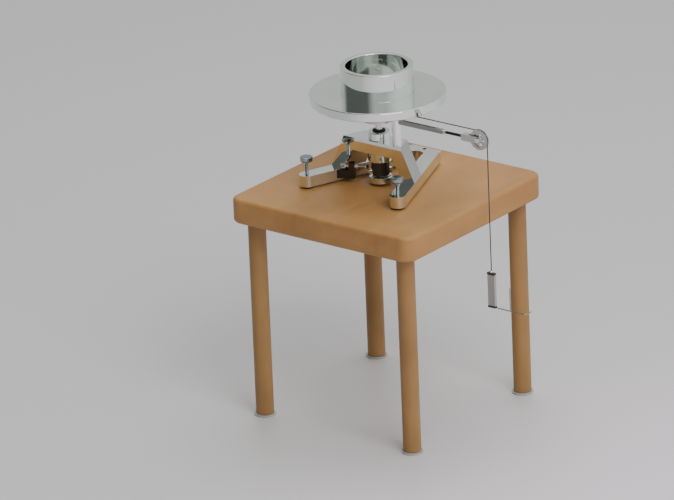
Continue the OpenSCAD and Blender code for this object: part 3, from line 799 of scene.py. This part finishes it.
@dataclass(frozen=True)
class Thread:
    """A thread round a turned piece, made by moving its points in and out along a helix."""

    low: float
    high: float
    pitch: float
    depth: float

    def __call__(self, piece: bpy.types.Object) -> None:
        """Cuts the thread.

        Args:
            piece: A piece turned around Z at the origin, with rings closer than half a pitch.
        """
        for v in piece.data.vertices:
            if not self.low * MM < v.co.z < self.high * MM or v.co.xy.length < self.depth * MM:
                continue
            turns = v.co.z / MM / self.pitch - math.atan2(v.co.y, v.co.x) / (2 * math.pi)
            inwards = abs(2 * (turns % 1.0) - 1)
            v.co.xy *= 1 - self.depth * MM * inwards / v.co.xy.length

    def rings(self, radius: float) -> Profile:
        """Points along the threaded length, a quarter of a pitch apart.

        Args:
            radius: The screw's outer radius.

        Returns:
            The profile's points from low to high.
        """
        count = max(2, round((self.high - self.low) / self.pitch * 4))
        return [(radius, self.low + (self.high - self.low) * i / count) for i in range(count + 1)]


def fit(
    piece: bpy.types.Object,
    finish: Wood | Metal | Coated | Cordage,
    body: Body | None,
    slot: str,
    *nodes: str,
) -> bpy.types.Object:
    """Gives a piece its finish, its body and the CAD nodes that it stands for.

    Args:
        piece: The piece.
        finish: Its finish.
        body: The body it rides on, or None where it bends between two.
        slot: A material slot's name; not used.
        *nodes: The CAD nodes that it replaces.

    Returns:
        The same piece.
    """
    piece.data.materials.clear()
    piece.data.materials.append(FINISHES.of(finish))
    if nodes:
        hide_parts(*nodes)
    if body is not None:
        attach(piece, body.value)
    LOG.info("%s: %d faces, stands for %s", piece.name, len(piece.data.polygons), list(nodes))
    return piece


def dress(finish: Wood | Metal | Coated | Cordage, *nodes: str) -> None:
    """Gives CAD nodes that stay as they are a finish.

    Args:
        finish: The finish.
        *nodes: The nodes.
    """
    for name in nodes:
        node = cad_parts[name]
        node.data.materials.clear()
        node.data.materials.append(FINISHES.of(finish))
        LOG.info("%s: kept from the frame", name)


def low(node: str) -> Vector:
    """The lowest corner of a CAD node's box, in millimetres."""
    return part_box(node)[0] / MM


def high(node: str) -> Vector:
    """The highest corner of a CAD node's box, in millimetres."""
    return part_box(node)[1] / MM


def centre(node: str) -> Vector:
    """The middle of a CAD node's box, in millimetres."""
    return (low(node) + high(node)) / 2


# The studio.


@dataclass
class Studio:
    """The camera, the floor and the light."""

    azimuth: float = 37.95
    elevation: float = 20.5
    roll: float = 2.2
    distance: float = 12.0
    lens: float = 392.0
    shift: tuple[float, float] = (-0.0726, -0.0969)
    floor_size: float = 60.0

    def camera(self) -> None:
        """Aims the camera at the middle of the stand's top."""
        aim = Vector((centre("stand_top").x, centre("stand_top").y, high("stand_top").z)) * MM
        azimuth, elevation, roll = (math.radians(a) for a in (self.azimuth, self.elevation, self.roll))
        level = Vector((math.cos(azimuth), math.sin(azimuth), 0))
        ahead = Vector((-math.sin(azimuth) * math.cos(elevation), math.cos(azimuth) * math.cos(elevation)))
        ahead = Vector((ahead.x, ahead.y, -math.sin(elevation)))
        upright = level.cross(ahead)
        right = level * math.cos(roll) - upright * math.sin(roll)
        up = right.cross(ahead)
        data = bpy.data.cameras.new("camera")
        data.lens, data.sensor_width = self.lens, 36.0
        data.shift_x, data.shift_y = self.shift
        data.clip_start, data.clip_end = 0.5, 200.0
        eye = bpy.data.objects.new("camera", data)
        turn = Matrix((right, up, -ahead)).transposed().to_4x4()
        eye.matrix_world = Matrix.Translation(aim - ahead * self.distance) @ turn
        bpy.context.scene.collection.objects.link(eye)
        bpy.context.scene.camera = eye

    def floor(self) -> None:
        """Lays a pale floor with painted light: its colour is lighter and pinker along one direction."""
        Bench.clear()
        bpy.ops.mesh.primitive_plane_add(size=self.floor_size, location=(0, 0, -0.0002))
        floor = bpy.context.object
        floor.name = "floor"
        made, nodes = material("floor_painted_light")
        place = nodes.place()
        # Painted light: this direction feeds the colour ramp below, so the floor is painted lighter and
        # pinker towards one side, a painted fall-off of light and painted reflection.
        along = nodes.add("ShaderNodeVectorMath", operation="DOT_PRODUCT")
        nodes.feed(along.inputs[0], place)
        nodes.feed(along.inputs[1], (0.97, -0.26, 0.0))
        nodes.surface(
            Base_Color=nodes.ramp(
                along.outputs["Value"], [(0.0, (0.62, 0.61, 0.62)), (0.5, (0.80, 0.72, 0.79))]
            ),
            Roughness=0.42,
            Specular_IOR_Level=0.35,
        )
        floor.data.materials.append(made)

    def lamp(self, name: str, power: float, at: Point, size: float, colour: Colour = (1, 1, 1)) -> None:
        """Hangs a square soft lamp that faces the object.

        Args:
            name: The lamp's name.
            power: Its power in watts.
            at: Its place, in metres.
            size: The length of its side, in metres.
            colour: Its colour.
        """
        data = bpy.data.lights.new(name, "AREA")
        data.energy, data.size, data.color = power, size, colour
        lamp = bpy.data.objects.new(name, data)
        lamp.location = at
        towards = Vector((0, 0, 0.45)) - Vector(at)
        lamp.rotation_euler = towards.to_track_quat("-Z", "Y").to_euler()
        bpy.context.scene.collection.objects.link(lamp)

    def room(self) -> None:
        """A light room, darker to the left of the object and brightest to its right."""
        world = bpy.data.worlds.new("room")
        bpy.context.scene.world = world
        world.use_nodes = True
        nodes = Nodes(world.node_tree)
        way = nodes.add("ShaderNodeTexCoord").outputs["Generated"]
        dark_side = math.radians(-125.0)
        beside = nodes.add("ShaderNodeVectorMath", operation="DOT_PRODUCT")
        nodes.feed(beside.inputs[0], way)
        nodes.feed(beside.inputs[1], (math.cos(dark_side) * 0.94, math.sin(dark_side) * 0.94, 0.34))
        shade = nodes.ramp(
            beside.outputs["Value"],
            [(0.55, (0.62, 0.63, 0.62)), (0.80, (0.13, 0.135, 0.13))],
        )
        facing = nodes.add("ShaderNodeVectorMath", operation="DOT_PRODUCT")
        nodes.feed(facing.inputs[0], way)
        nodes.feed(facing.inputs[1], (0.78, 0.61, 0.14))
        glow = nodes.ramp(facing.outputs["Value"], [(0.45, (0.0, 0.0, 0.0)), (0.9, (0.38, 0.38, 0.39))])
        both = nodes.add("ShaderNodeVectorMath", operation="ADD")
        nodes.feed(both.inputs[0], shade)
        nodes.feed(both.inputs[1], glow)
        background = nodes.add("ShaderNodeBackground", Strength=1.0)
        nodes.feed(background.inputs["Color"], both.outputs["Vector"])
        output = nodes.add("ShaderNodeOutputWorld")
        nodes.feed(output.inputs["Surface"], background.outputs["Background"])

    def build(self) -> None:
        """Builds all of the studio."""
        self.camera()
        self.floor()
        self.room()
        self.lamp("key_lamp", 95.0, (2.4, -1.2, 3.2), 2.0)
        self.lamp("top_lamp", 45.0, (-0.6, 1.2, 3.4), 2.4)


# The cord, from the pulley to the weight.


@dataclass
class CordLine:
    """The cord: turns on the pulley, a run to the guide pulley and a drop to the weight."""

    thickness: float = 2.0
    wound_radius: float = 12.0
    wheel_radius: float = 15.5
    between_turns: float = 2.3
    strands: int = 3
    lay: float = 6.0
    spacing: float = 0.6

    def arc(self, middle: Vector, a: Vector, b: Vector, radius: float, sweep: float) -> list[Vector]:
        """Points on an arc, without its last.

        Args:
            middle: The arc's centre.
            a: The way from the centre to the arc's start.
            b: The way it turns towards.
            radius: Its radius.
            sweep: Its angle in degrees.

        Returns:
            The points.
        """
        count = round(math.radians(sweep) * radius / self.spacing)
        turned = [math.radians(sweep) * i / count for i in range(count)]
        return [middle + (a * math.cos(t) + b * math.sin(t)) * radius for t in turned]

    def line(self, start: Vector, end: Vector) -> list[Vector]:
        """Points on a straight line, without its last."""
        count = round((end - start).length / self.spacing)
        return [start.lerp(end, i / count) for i in range(count)]

    def build(self) -> None:
        """Builds the cord and the turns wound on the pulley."""
        x, y, z = Vector((1, 0, 0)), Vector((0, 1, 0)), Vector((0, 0, 1))
        hub = centre("spindle")
        wheel = centre("guide_pulley")
        run_z = wheel.z + self.wheel_radius
        middle = Vector((hub.x, hub.y, run_z))
        leave = Vector((hub.x, hub.y - self.wound_radius, run_z))
        over = Vector((wheel.x, wheel.y, run_z))
        off = Vector((wheel.x + self.wheel_radius, wheel.y, wheel.z))
        eye = Vector((off.x, off.y, low("cord_drop").z))
        path = self.arc(middle, x, y, self.wound_radius, 270) + self.line(leave, over)
        path += self.arc(wheel, z, x, self.wheel_radius, 90) + self.line(off, eye) + [eye]
        radius = self.thickness / 2
        for i, rise in enumerate((-self.between_turns, self.between_turns)):
            ring = self.arc(middle + z * rise, x, y, self.wound_radius, 360)
            turn = Bench.tube(f"cord_turn_{i + 1}", ring, radius, self.strands, self.lay, loop=True)
            fit(turn, NYLON, Body.ROTOR, "cord_nylon", "cord_winding")
        piece = Bench.tube("cord", path, radius, self.strands, self.lay)
        fit(piece, NYLON, None, "cord_nylon", "cord_run", "cord_drop")
        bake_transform(piece)


# The wooden stand.


@dataclass
class Stand:
    """The wooden top on four legs."""

    corner: float = 23.0
    top_edge: float = 6.5

    def top(self) -> None:
        """The slab, with rounded corners and edges."""
        piece = Bench.block("wooden_top", low("stand_top"), high("stand_top"), self.top_edge, self.corner, 6)
        fit(piece, WOOD_TOP, Body.STAND, "beech_wood", "stand_top")

    def leg(self, node: str) -> None:
        """One round leg and its glide.

        Args:
            node: The leg's CAD node.
        """
        place, radius = centre(node), (high(node).x - low(node).x) / 2
        foot, top = low(node).z, high(node).z
        profile = [(radius - 1, foot), (radius, foot + 1), (radius, top - 1), (radius - 1, top)]
        piece = Bench.turned(node.replace("leg", "round_leg"), profile, (place.x, place.y, 0), segments=72)
        fit(piece, WOOD_LEG, Body.STAND, "beech_wood", node)
        wide = (high("leg_glides").x - low("leg_glides").x) / 2
        reach = wide - abs(place.x - centre("leg_glides").x)
        rim = [(reach - 0.6, 0), (reach, 0), (reach, foot), (reach - 2, foot)]
        glide = Bench.turned(node.replace("leg", "glide"), rim, (place.x, place.y, 0), segments=64, edge=0.5)
        fit(glide, GLIDE, Body.STAND, "glide_plastic", "leg_glides")

    def build(self) -> None:
        """Builds the stand."""
        self.top()
        for node in ("leg_front_left", "leg_front_right", "leg_back_left", "leg_back_right"):
            self.leg(node)


# The base casting and what stands on it.


@dataclass
class BaseCasting:
    """The legged base, its pads, the bridge and the bearing."""

    casting_edge: float = 1.0
    bridge_edge: float = 1.3
    small_edge: float = 0.4
    seal_lip: float = 10.7
    seal_rise: float = 1.5
    seal_bore: float = 6.3

    def pads(self) -> None:
        """The rubber pads under the base."""
        for node, body in (("front_pad_left", Body.LEFT_PAD), ("front_pad_right", Body.RIGHT_PAD)):
            fit(Bench.from_cad(f"rubber_{node}", node, 0.25, 2), RUBBER, body, "black_rubber", node)
        pad = Bench.from_cad("rubber_rear_pad", "rear_pad", 0.4)
        fit(pad, RUBBER, Body.STAND, "black_rubber", "rear_pad")

    def castings(self) -> None:
        """The base and the bridge."""
        base = Bench.from_cad("base_casting", "base_frame", self.casting_edge)
        fit(base, CHROME, Body.STAND, "polished_chrome", "base_frame")
        bridge = Bench.from_cad("bridge_casting", "bridge", self.bridge_edge)
        fit(bridge, CHROME, Body.STAND, "polished_chrome", "bridge")
        screws = Bench.from_cad("bridge_cap_screws", "bridge_screws", 0.2, 2)
        fit(screws, BLACKENED, Body.STAND, "black_screws", "bridge_screws")

    def seal(self) -> None:
        """The bearing's shield: a steel washer with a rubber lip at the spindle."""
        place, floor, top = centre("seal_ring"), low("seal_ring").z, high("seal_ring").z
        rim = (high("seal_ring").x - low("seal_ring").x) / 2
        lip, shelf = self.seal_lip, top - self.seal_rise
        at = (place.x, place.y, 0)
        inner = lip + 0.05
        profile: Profile = [(inner, shelf), (inner, floor), (rim, floor), (rim, shelf)]
        washer = Bench.turned("bearing_shield", profile, at, edge=0.2, bore=True)
        fit(washer, GROUND, Body.STAND, "ground_steel", "seal_ring")
        profile = [(self.seal_bore, top), (self.seal_bore, floor), (lip, floor), (lip, top)]
        rubber = Bench.turned("bearing_lip", profile, at, edge=0.2, bore=True)
        fit(rubber, RUBBER, Body.STAND, "black_rubber", "seal_ring")

    def bearing(self) -> None:
        """The bearing housing, its nut and the bearings inside."""
        housing = Bench.from_cad("bearing_case", "bearing_housing", self.small_edge)
        fit(housing, CHROME, Body.STAND, "polished_chrome", "bearing_housing")
        nut = Bench.from_cad("clamp_nut", "ring_nut", self.small_edge)
        fit(nut, CHROME, Body.STAND, "polished_chrome", "ring_nut")
        grubs = Bench.from_cad("nut_grub_screws", "ring_nut_screws", 0.15, 2)
        fit(grubs, BLACKENED, Body.STAND, "black_screws", "ring_nut_screws")
        self.seal()
        dress(GROUND, "upper_outer_race", "upper_inner_race", "lower_outer_race", "lower_inner_race")
        dress(CHROME, "upper_balls", "lower_balls")

    def build(self) -> None:
        """Builds the base."""
        self.pads()
        self.castings()
        self.bearing()


@dataclass
class LevelScrews:
    """The two thumbscrews that level the base."""

    head_radius: float = 10.5
    head_height: float = 9.5
    shank_radius: float = 3.0
    pitch: float = 1.0

    def screw(self, node: str, body: Body) -> None:
        """One thumbscrew.

        Args:
            node: Its CAD node.
            body: The body it rides on.
        """
        place, tip, top = centre(node), low(node).z, high(node).z
        r, h = self.head_radius, self.head_height
        head = top - h
        thread = Thread(tip + 1, head - 3, self.pitch, 0.45)
        profile = [(self.shank_radius - 0.8, tip), *thread.rings(self.shank_radius)]
        profile += [(self.shank_radius, head - 0.01), (r * 0.6, head), (r * 0.84, head + h * 0.06)]
        profile += [(r * 0.95, head + h * 0.16), (r * 0.99, head + h * 0.28), (r, head + h * 0.4)]
        profile += [(r, top - 1.0), (r - 0.25, top - 0.4), (r - 0.9, top), (r * 0.5, top)]
        piece = Bench.turned(f"thumb_{node}", profile, (place.x, place.y, 0), segments=96, cut=thread)
        fit(piece, SCREW, body, "screw_steel", node)

    def build(self) -> None:
        """Builds both thumbscrews."""
        self.screw("level_screw_left", Body.LEFT_SCREW)
        self.screw("level_screw_right", Body.RIGHT_SCREW)


# The spindle and what it turns.


@dataclass
class Turntable:
    """The disc, the ring on it, the spindle, its pulley and its index drum."""

    disc_radius: float = 112.0
    ring_wall: float = 9.0
    groove_depth: float = 1.5
    groove_spare: float = 0.1
    smooth: int = 256

    def disc(self) -> None:
        """The heavy disc, with the groove that holds the ring and a seat for its screw."""
        x, y = centre("spindle").x, centre("spindle").y
        floor, top, r = low("disc").z, high("disc").z, self.disc_radius
        out = (high("ring").x - low("ring").x) / 2 + self.groove_spare
        inn = out - self.ring_wall - 2 * self.groove_spare
        bed, bore = top - self.groove_depth, high("centre_screw").x - x
        profile = [
            (6.0, floor), (r - 1, floor), (r, floor + 1), (r, top - 1), (r - 1, top), (out, top),
            (out, bed), (inn, bed), (inn, top), (bore, top), (bore - 3, top - 3), (bore - 3, top - 5),
            (6.0, top - 5),
        ]  # fmt: skip
        piece = Bench.turned(
            "polished_disc", profile, (x, y, 0), segments=self.smooth, edge=0.35, bore=True
        )
        fit(piece, DISC_CHROME, Body.ROTOR, "polished_disc", "disc")

    def ring(self) -> None:
        """The loose heavy ring."""
        x, y = centre("ring").x, centre("ring").y
        floor, top = low("ring").z, high("ring").z
        out = (high("ring").x - low("ring").x) / 2
        inn = out - self.ring_wall
        profile = [
            (inn + 0.9, floor), (out - 0.9, floor), (out, floor + 0.9), (out, top - 0.9),
            (out - 0.9, top), (inn + 0.9, top), (inn, top - 0.9), (inn, floor + 0.9),
        ]  # fmt: skip
        piece = Bench.turned(
            "polished_ring", profile, (x, y, 0), segments=self.smooth, edge=0.35, bore=True
        )
        fit(piece, RING_CHROME, Body.RING, "polished_ring", "ring")

    def step_pulley(self) -> None:
        """The stepped pulley: its small step takes the cord."""
        x, y = centre("spindle").x, centre("spindle").y
        top, floor = high("step_pulley").z, low("step_pulley").z
        bore = high("spindle").x - x
        steps = (10.9, 18.0, 25.0)
        rim, groove, land, hub = 4.5, 7.0, 2.0, 4.5
        profile: Profile = [(bore, top), (steps[0] + rim, top), (steps[0] + rim, top - hub)]
        height = top - hub
        for i, r in enumerate(steps):
            profile += [(r, height), (r, height - groove), (r + rim, height - groove)]
            height -= groove + land
            profile.append((r + rim, height))
            if i + 1 < len(steps):
                profile[-1] = (r + rim, height)
        last = steps[-1] + rim
        profile[-1] = (last, height - land)
        profile += [(11.0, height - land), (11.0, floor), (bore, floor)]
        piece = Bench.turned(
            "stepped_pulley", profile, (x, y, 0), segments=128, edge=0.3, bore=True
        )
        fit(piece, PALE, Body.ROTOR, "grey_metal", "step_pulley")

    def spindle(self) -> None:
        """The spindle, its index drum, lugs, flange and screws."""
        for name, node, edge, finish, slot in (
            ("steel_spindle", "spindle", 0.4, GROUND, "ground_steel"),
            ("black_index_drum", "index_drum", 0.5, BLACK, "black_metal"),
            ("white_drum_lugs", "drum_lugs", 0.6, WHITE_STEEL, "white_steel"),
            ("spindle_foot_flange", "foot_flange", 0.4, CHROME, "polished_chrome"),
            ("disc_centre_screw", "centre_screw", 0.2, GROUND, "ground_steel"),
            ("pulley_grub_screw", "pulley_set_screw", 0.12, BLACKENED, "black_screws"),
            ("flange_grub_screw", "flange_set_screw", 0.15, BLACKENED, "black_screws"),
        ):
            fit(Bench.from_cad(name, node, edge, 2), finish, Body.ROTOR, slot, node)

    def build(self) -> None:
        """Builds all that turns, and the ring."""
        self.disc()
        self.ring()
        self.step_pulley()
        self.spindle()


# The arm and its pulley.


@dataclass
class Arm:
    """The post, the arm and the guide pulley at its end."""

    rod_radius: float = 2.5
    ferrule_radius: float = 3.2

    def post(self) -> None:
        """The post and its screws."""
        fit(Bench.from_cad("white_post", "post", 0.7), WHITE_STEEL, Body.STAND, "white_steel", "post")
        stud = Bench.from_cad("post_stud", "post_screw", 0.3)
        fit(stud, GROUND, Body.STAND, "ground_steel", "post_screw")
        grub = Bench.from_cad("arm_grub_screw", "arm_set_screw", 0.15, 2)
        fit(grub, BLACKENED, Body.STAND, "black_screws", "arm_set_screw")

    def bar(self) -> None:
        """The grooved bar, its ferrule and the dark rod."""
        fit(Bench.from_cad("grooved_bar", "arm_bar", 0.35), GREY, Body.STAND, "grey_metal", "arm_bar")
        ferrule, rod = low("arm_ferrule"), low("arm_rod")
        y, z = centre("arm_ferrule").y, centre("arm_ferrule").z
        long = high("arm_ferrule").x - ferrule.x
        r, bore = self.ferrule_radius, self.rod_radius
        cuff = [(bore, 0), (r, 0), (r, long * 0.35), (r - 0.25, long * 0.42), (r - 0.25, long * 0.58)]
        cuff += [(r, long * 0.65), (r, long), (bore, long)]
        piece = Bench.turned("arm_cuff", cuff, (ferrule.x, y, z), Axis.X, 64, 0.15, bore=True)
        fit(piece, CHROME, Body.STAND, "polished_chrome", "arm_ferrule")
        long = high("arm_rod").x - rod.x
        shaft = [(bore - 0.4, 0), (bore, 0.4), (bore, long - 0.4), (bore - 0.4, long)]
        piece = Bench.turned("dark_rod", shaft, (rod.x, y, z), Axis.X, 48)
        fit(piece, BLACKENED, Body.STAND, "black_metal", "arm_rod")

    def guide(self) -> None:
        """The yoke, its axle and the guide pulley."""
        for name, node, edge, finish, body, slot in (
            ("fork_yoke", "pulley_yoke", 0.6, PALE, Body.STAND, "grey_metal"),
            ("yoke_axle", "pulley_axle", 0.3, CHROME, Body.STAND, "polished_chrome"),
            ("yoke_clip", "axle_clip", 0.2, BLACKENED, Body.STAND, "black_screws"),
            ("grooved_guide_pulley", "guide_pulley", 0.2, PALE, Body.GUIDE, "grey_metal"),
        ):
            fit(Bench.from_cad(name, node, edge, 2), finish, body, slot, node)

    def build(self) -> None:
        """Builds the arm."""
        self.post()
        self.bar()
        self.guide()


# The weight.


@dataclass
class DropWeight:
    """The bar that the cord lets down, its caps, its eye and its wire."""

    bar_edge: float = 0.7
    cap_edge: float = 0.9
    wire_radius: float = 0.9
    reach: float = 66.0
    hook: float = 16.0
    hook_bend: float = 3.0
    prong_at: float = 36.0
    prong: float = 40.0

    def bar(self) -> None:
        """The bar and its two caps."""
        piece = Bench.block("weight_bar", low("weight_body"), high("weight_body"), self.bar_edge)
        fit(piece, BAR, Body.WEIGHT, "weight_steel", "weight_body")
        for node in ("weight_top_cap", "weight_bottom_cap"):
            piece = Bench.block(f"rubber_{node}", low(node), high(node), self.cap_edge)
            fit(piece, PLASTIC, Body.WEIGHT, "black_plastic", node)

    def eye(self) -> None:
        """The eye that the cord is tied to, with the knot's bulge above it."""
        place, floor = centre("cord_eye"), low("cord_eye").z
        tall = high("cord_eye").z - floor
        profile = [(2.3, 0), (2.3, tall * 0.55), (1.9, tall * 0.75), (1.3, tall), (0.8, tall)]
        piece = Bench.turned("weight_eye", profile, (place.x, place.y, floor), segments=48, edge=0.3)
        fit(piece, GROUND, Body.WEIGHT, "ground_steel", "cord_eye")

    def wire(self) -> None:
        """The wire that small loads hang on: a hook along Y and a prong that stands up."""
        place, x = centre("weight_bottom_cap"), low("loading_wire").x
        y, z = centre("weight_body").y, low("loading_wire").z + self.wire_radius
        r, bend = self.wire_radius, self.hook_bend
        straight = place.x + self.reach - bend - x
        along = Bench.wire(
            "loading_hook",
            (x, y, z),
            (1, 0, 0),
            r,
            [(straight, (0, 1, 0), bend), (self.hook - bend, (0, 0, 0), 0)],
        )
        Bench.soften(along, 0.25, 2, 60)
        prong = Bench.wire(
            "loading_prong",
            (place.x + self.prong_at, y, z),
            (0, 0, 1),
            r,
            [(self.prong, (0, 0, 0), 0)],
        )
        Bench.soften(prong, 0.25, 2, 60)
        for piece in (along, prong):
            fit(Bench.done(piece), WIRE, Body.WEIGHT, "weight_steel", "loading_wire")

    def build(self) -> None:
        """Builds the weight."""
        self.bar()
        self.eye()
        self.wire()


# The lock.


@dataclass
class LockPlunger:
    """The spring plunger that holds the spindle by its drum."""

    line: float = 205.0
    tip: float = 20.0
    pad_length: float = 3.0
    collar_length: float = 2.5
    sleeve_start: float = 38.0
    knob_start: float = 57.5
    knob_length: float = 9.0
    knob_radius: float = 4.5
    spring_radius: float = 3.45
    spring_wire: float = 0.55
    coils: int = 5

    def on_line(self, piece: bpy.types.Object) -> bpy.types.Object:
        """Swings a piece that was turned along X, out from the spindle, on to the lock's line.

        Args:
            piece: The piece, made with the spindle's axis at the origin.

        Returns:
            The same piece.
        """
        hub = centre("spindle")
        piece.rotation_euler = (0, 0, math.radians(self.line))
        piece.location = Vector((hub.x, hub.y, centre("lock_rod").z)) * MM
        return Bench.done(piece)

    def along(self, name: str, profile: Profile, **more: object) -> bpy.types.Object:
        """Turns a piece whose heights are distances out from the spindle.

        Args:
            name: The piece's name.
            profile: Radius and distance of each corner.
            **more: What else the lathe takes.

        Returns:
            The piece on the lock's line.
        """
        return self.on_line(Bench.turned(name, profile, (0, 0, 0), Axis.X, **more))

    def spring(self) -> None:
        """The spring: a circle taken round and along by a Screw modifier."""
        start = self.tip + self.pad_length + self.collar_length + 0.3 + self.spring_wire
        rise = self.sleeve_start - start - self.spring_wire - 0.3
        Bench.clear()
        bpy.ops.mesh.primitive_circle_add(
            vertices=12,
            radius=self.spring_wire * MM,
            location=(self.spring_radius * MM, 0, start * MM),
            rotation=(math.pi / 2, 0, 0),
        )
        piece = bpy.context.object
        piece.name = "lock_coil_spring"
        bpy.ops.object.transform_apply(location=True, rotation=True)
        Bench.apply(
            piece,
            "SCREW",
            iterations=self.coils,
            screw_offset=rise / self.coils * MM,
            steps=28,
            render_steps=28,
            use_merge_vertices=False,
        )
        Bench.close(piece)
        piece.rotation_euler = Axis.X.value
        Bench.done(piece)
        self.on_line(piece)
        fit(piece, WIRE, None, "spring_wire", "lock_spring")
        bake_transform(piece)

    def build(self) -> None:
        """Builds the plunger and its bracket."""
        tip, pad, collar = self.tip, self.pad_length, self.collar_length
        far = self.knob_start + self.knob_length
        bracket = Bench.from_cad("plunger_bracket", "lock_bracket", 0.7)
        fit(bracket, BLACKENED, Body.STAND, "black_metal", "lock_bracket")
        sleeve = Bench.from_cad("plunger_sleeve", "lock_sleeve", 0.4)
        fit(sleeve, GROUND, Body.STAND, "ground_steel", "lock_sleeve")
        big = self.spring_radius + self.spring_wire
        rod = [(2.1, tip + pad), (big - 0.2, tip + pad), (big, tip + pad + 0.2)]
        rod += [(big, tip + pad + collar - 0.2), (big - 0.2, tip + pad + collar)]
        rod += [(2.5, tip + pad + collar), (2.5, far - 2.4), (2.1, far - 2)]
        fit(self.along("plunger_rod", rod, segments=48), CHROME, Body.LOCK, "polished_chrome", "lock_rod")
        r = self.spring_radius
        face = [(r - 0.6, tip), (r, tip + 0.6), (r, tip + pad)]
        fit(self.along("plunger_pad", face, segments=48), RUBBER, Body.LOCK, "black_rubber", "lock_pad")
        k, a, b = self.knob_radius, self.knob_start, far
        knob = [(k - 1.2, a), (k - 0.6, a + 0.2), (k, a + 0.9), (k, a + 2.4), (k, b - 2.4), (k, b - 0.9)]
        knob += [(k - 0.3, b - 0.3), (k - 1.0, b), (k - 2.4, b)]
        piece = self.along("plunger_knob", knob, segments=72, cut=Flutes(a + 0.8, b - 0.8, 0.25))
        fit(piece, GROUND, Body.LOCK, "ground_steel", "lock_knob")
        self.spring()


def main() -> None:
    """Builds the studio, then the pieces."""
    logging.basicConfig(level=logging.INFO, format="%(name)s: %(message)s", stream=sys.stdout)
    for part in (
        Studio(),
        CordLine(),
        Stand(),
        BaseCasting(),
        LevelScrews(),
        Turntable(),
        Arm(),
        DropWeight(),
        LockPlunger(),
    ):
        LOG.info("building %s", type(part).__name__)
        part.build()


if __name__ == "__main__":
    main()
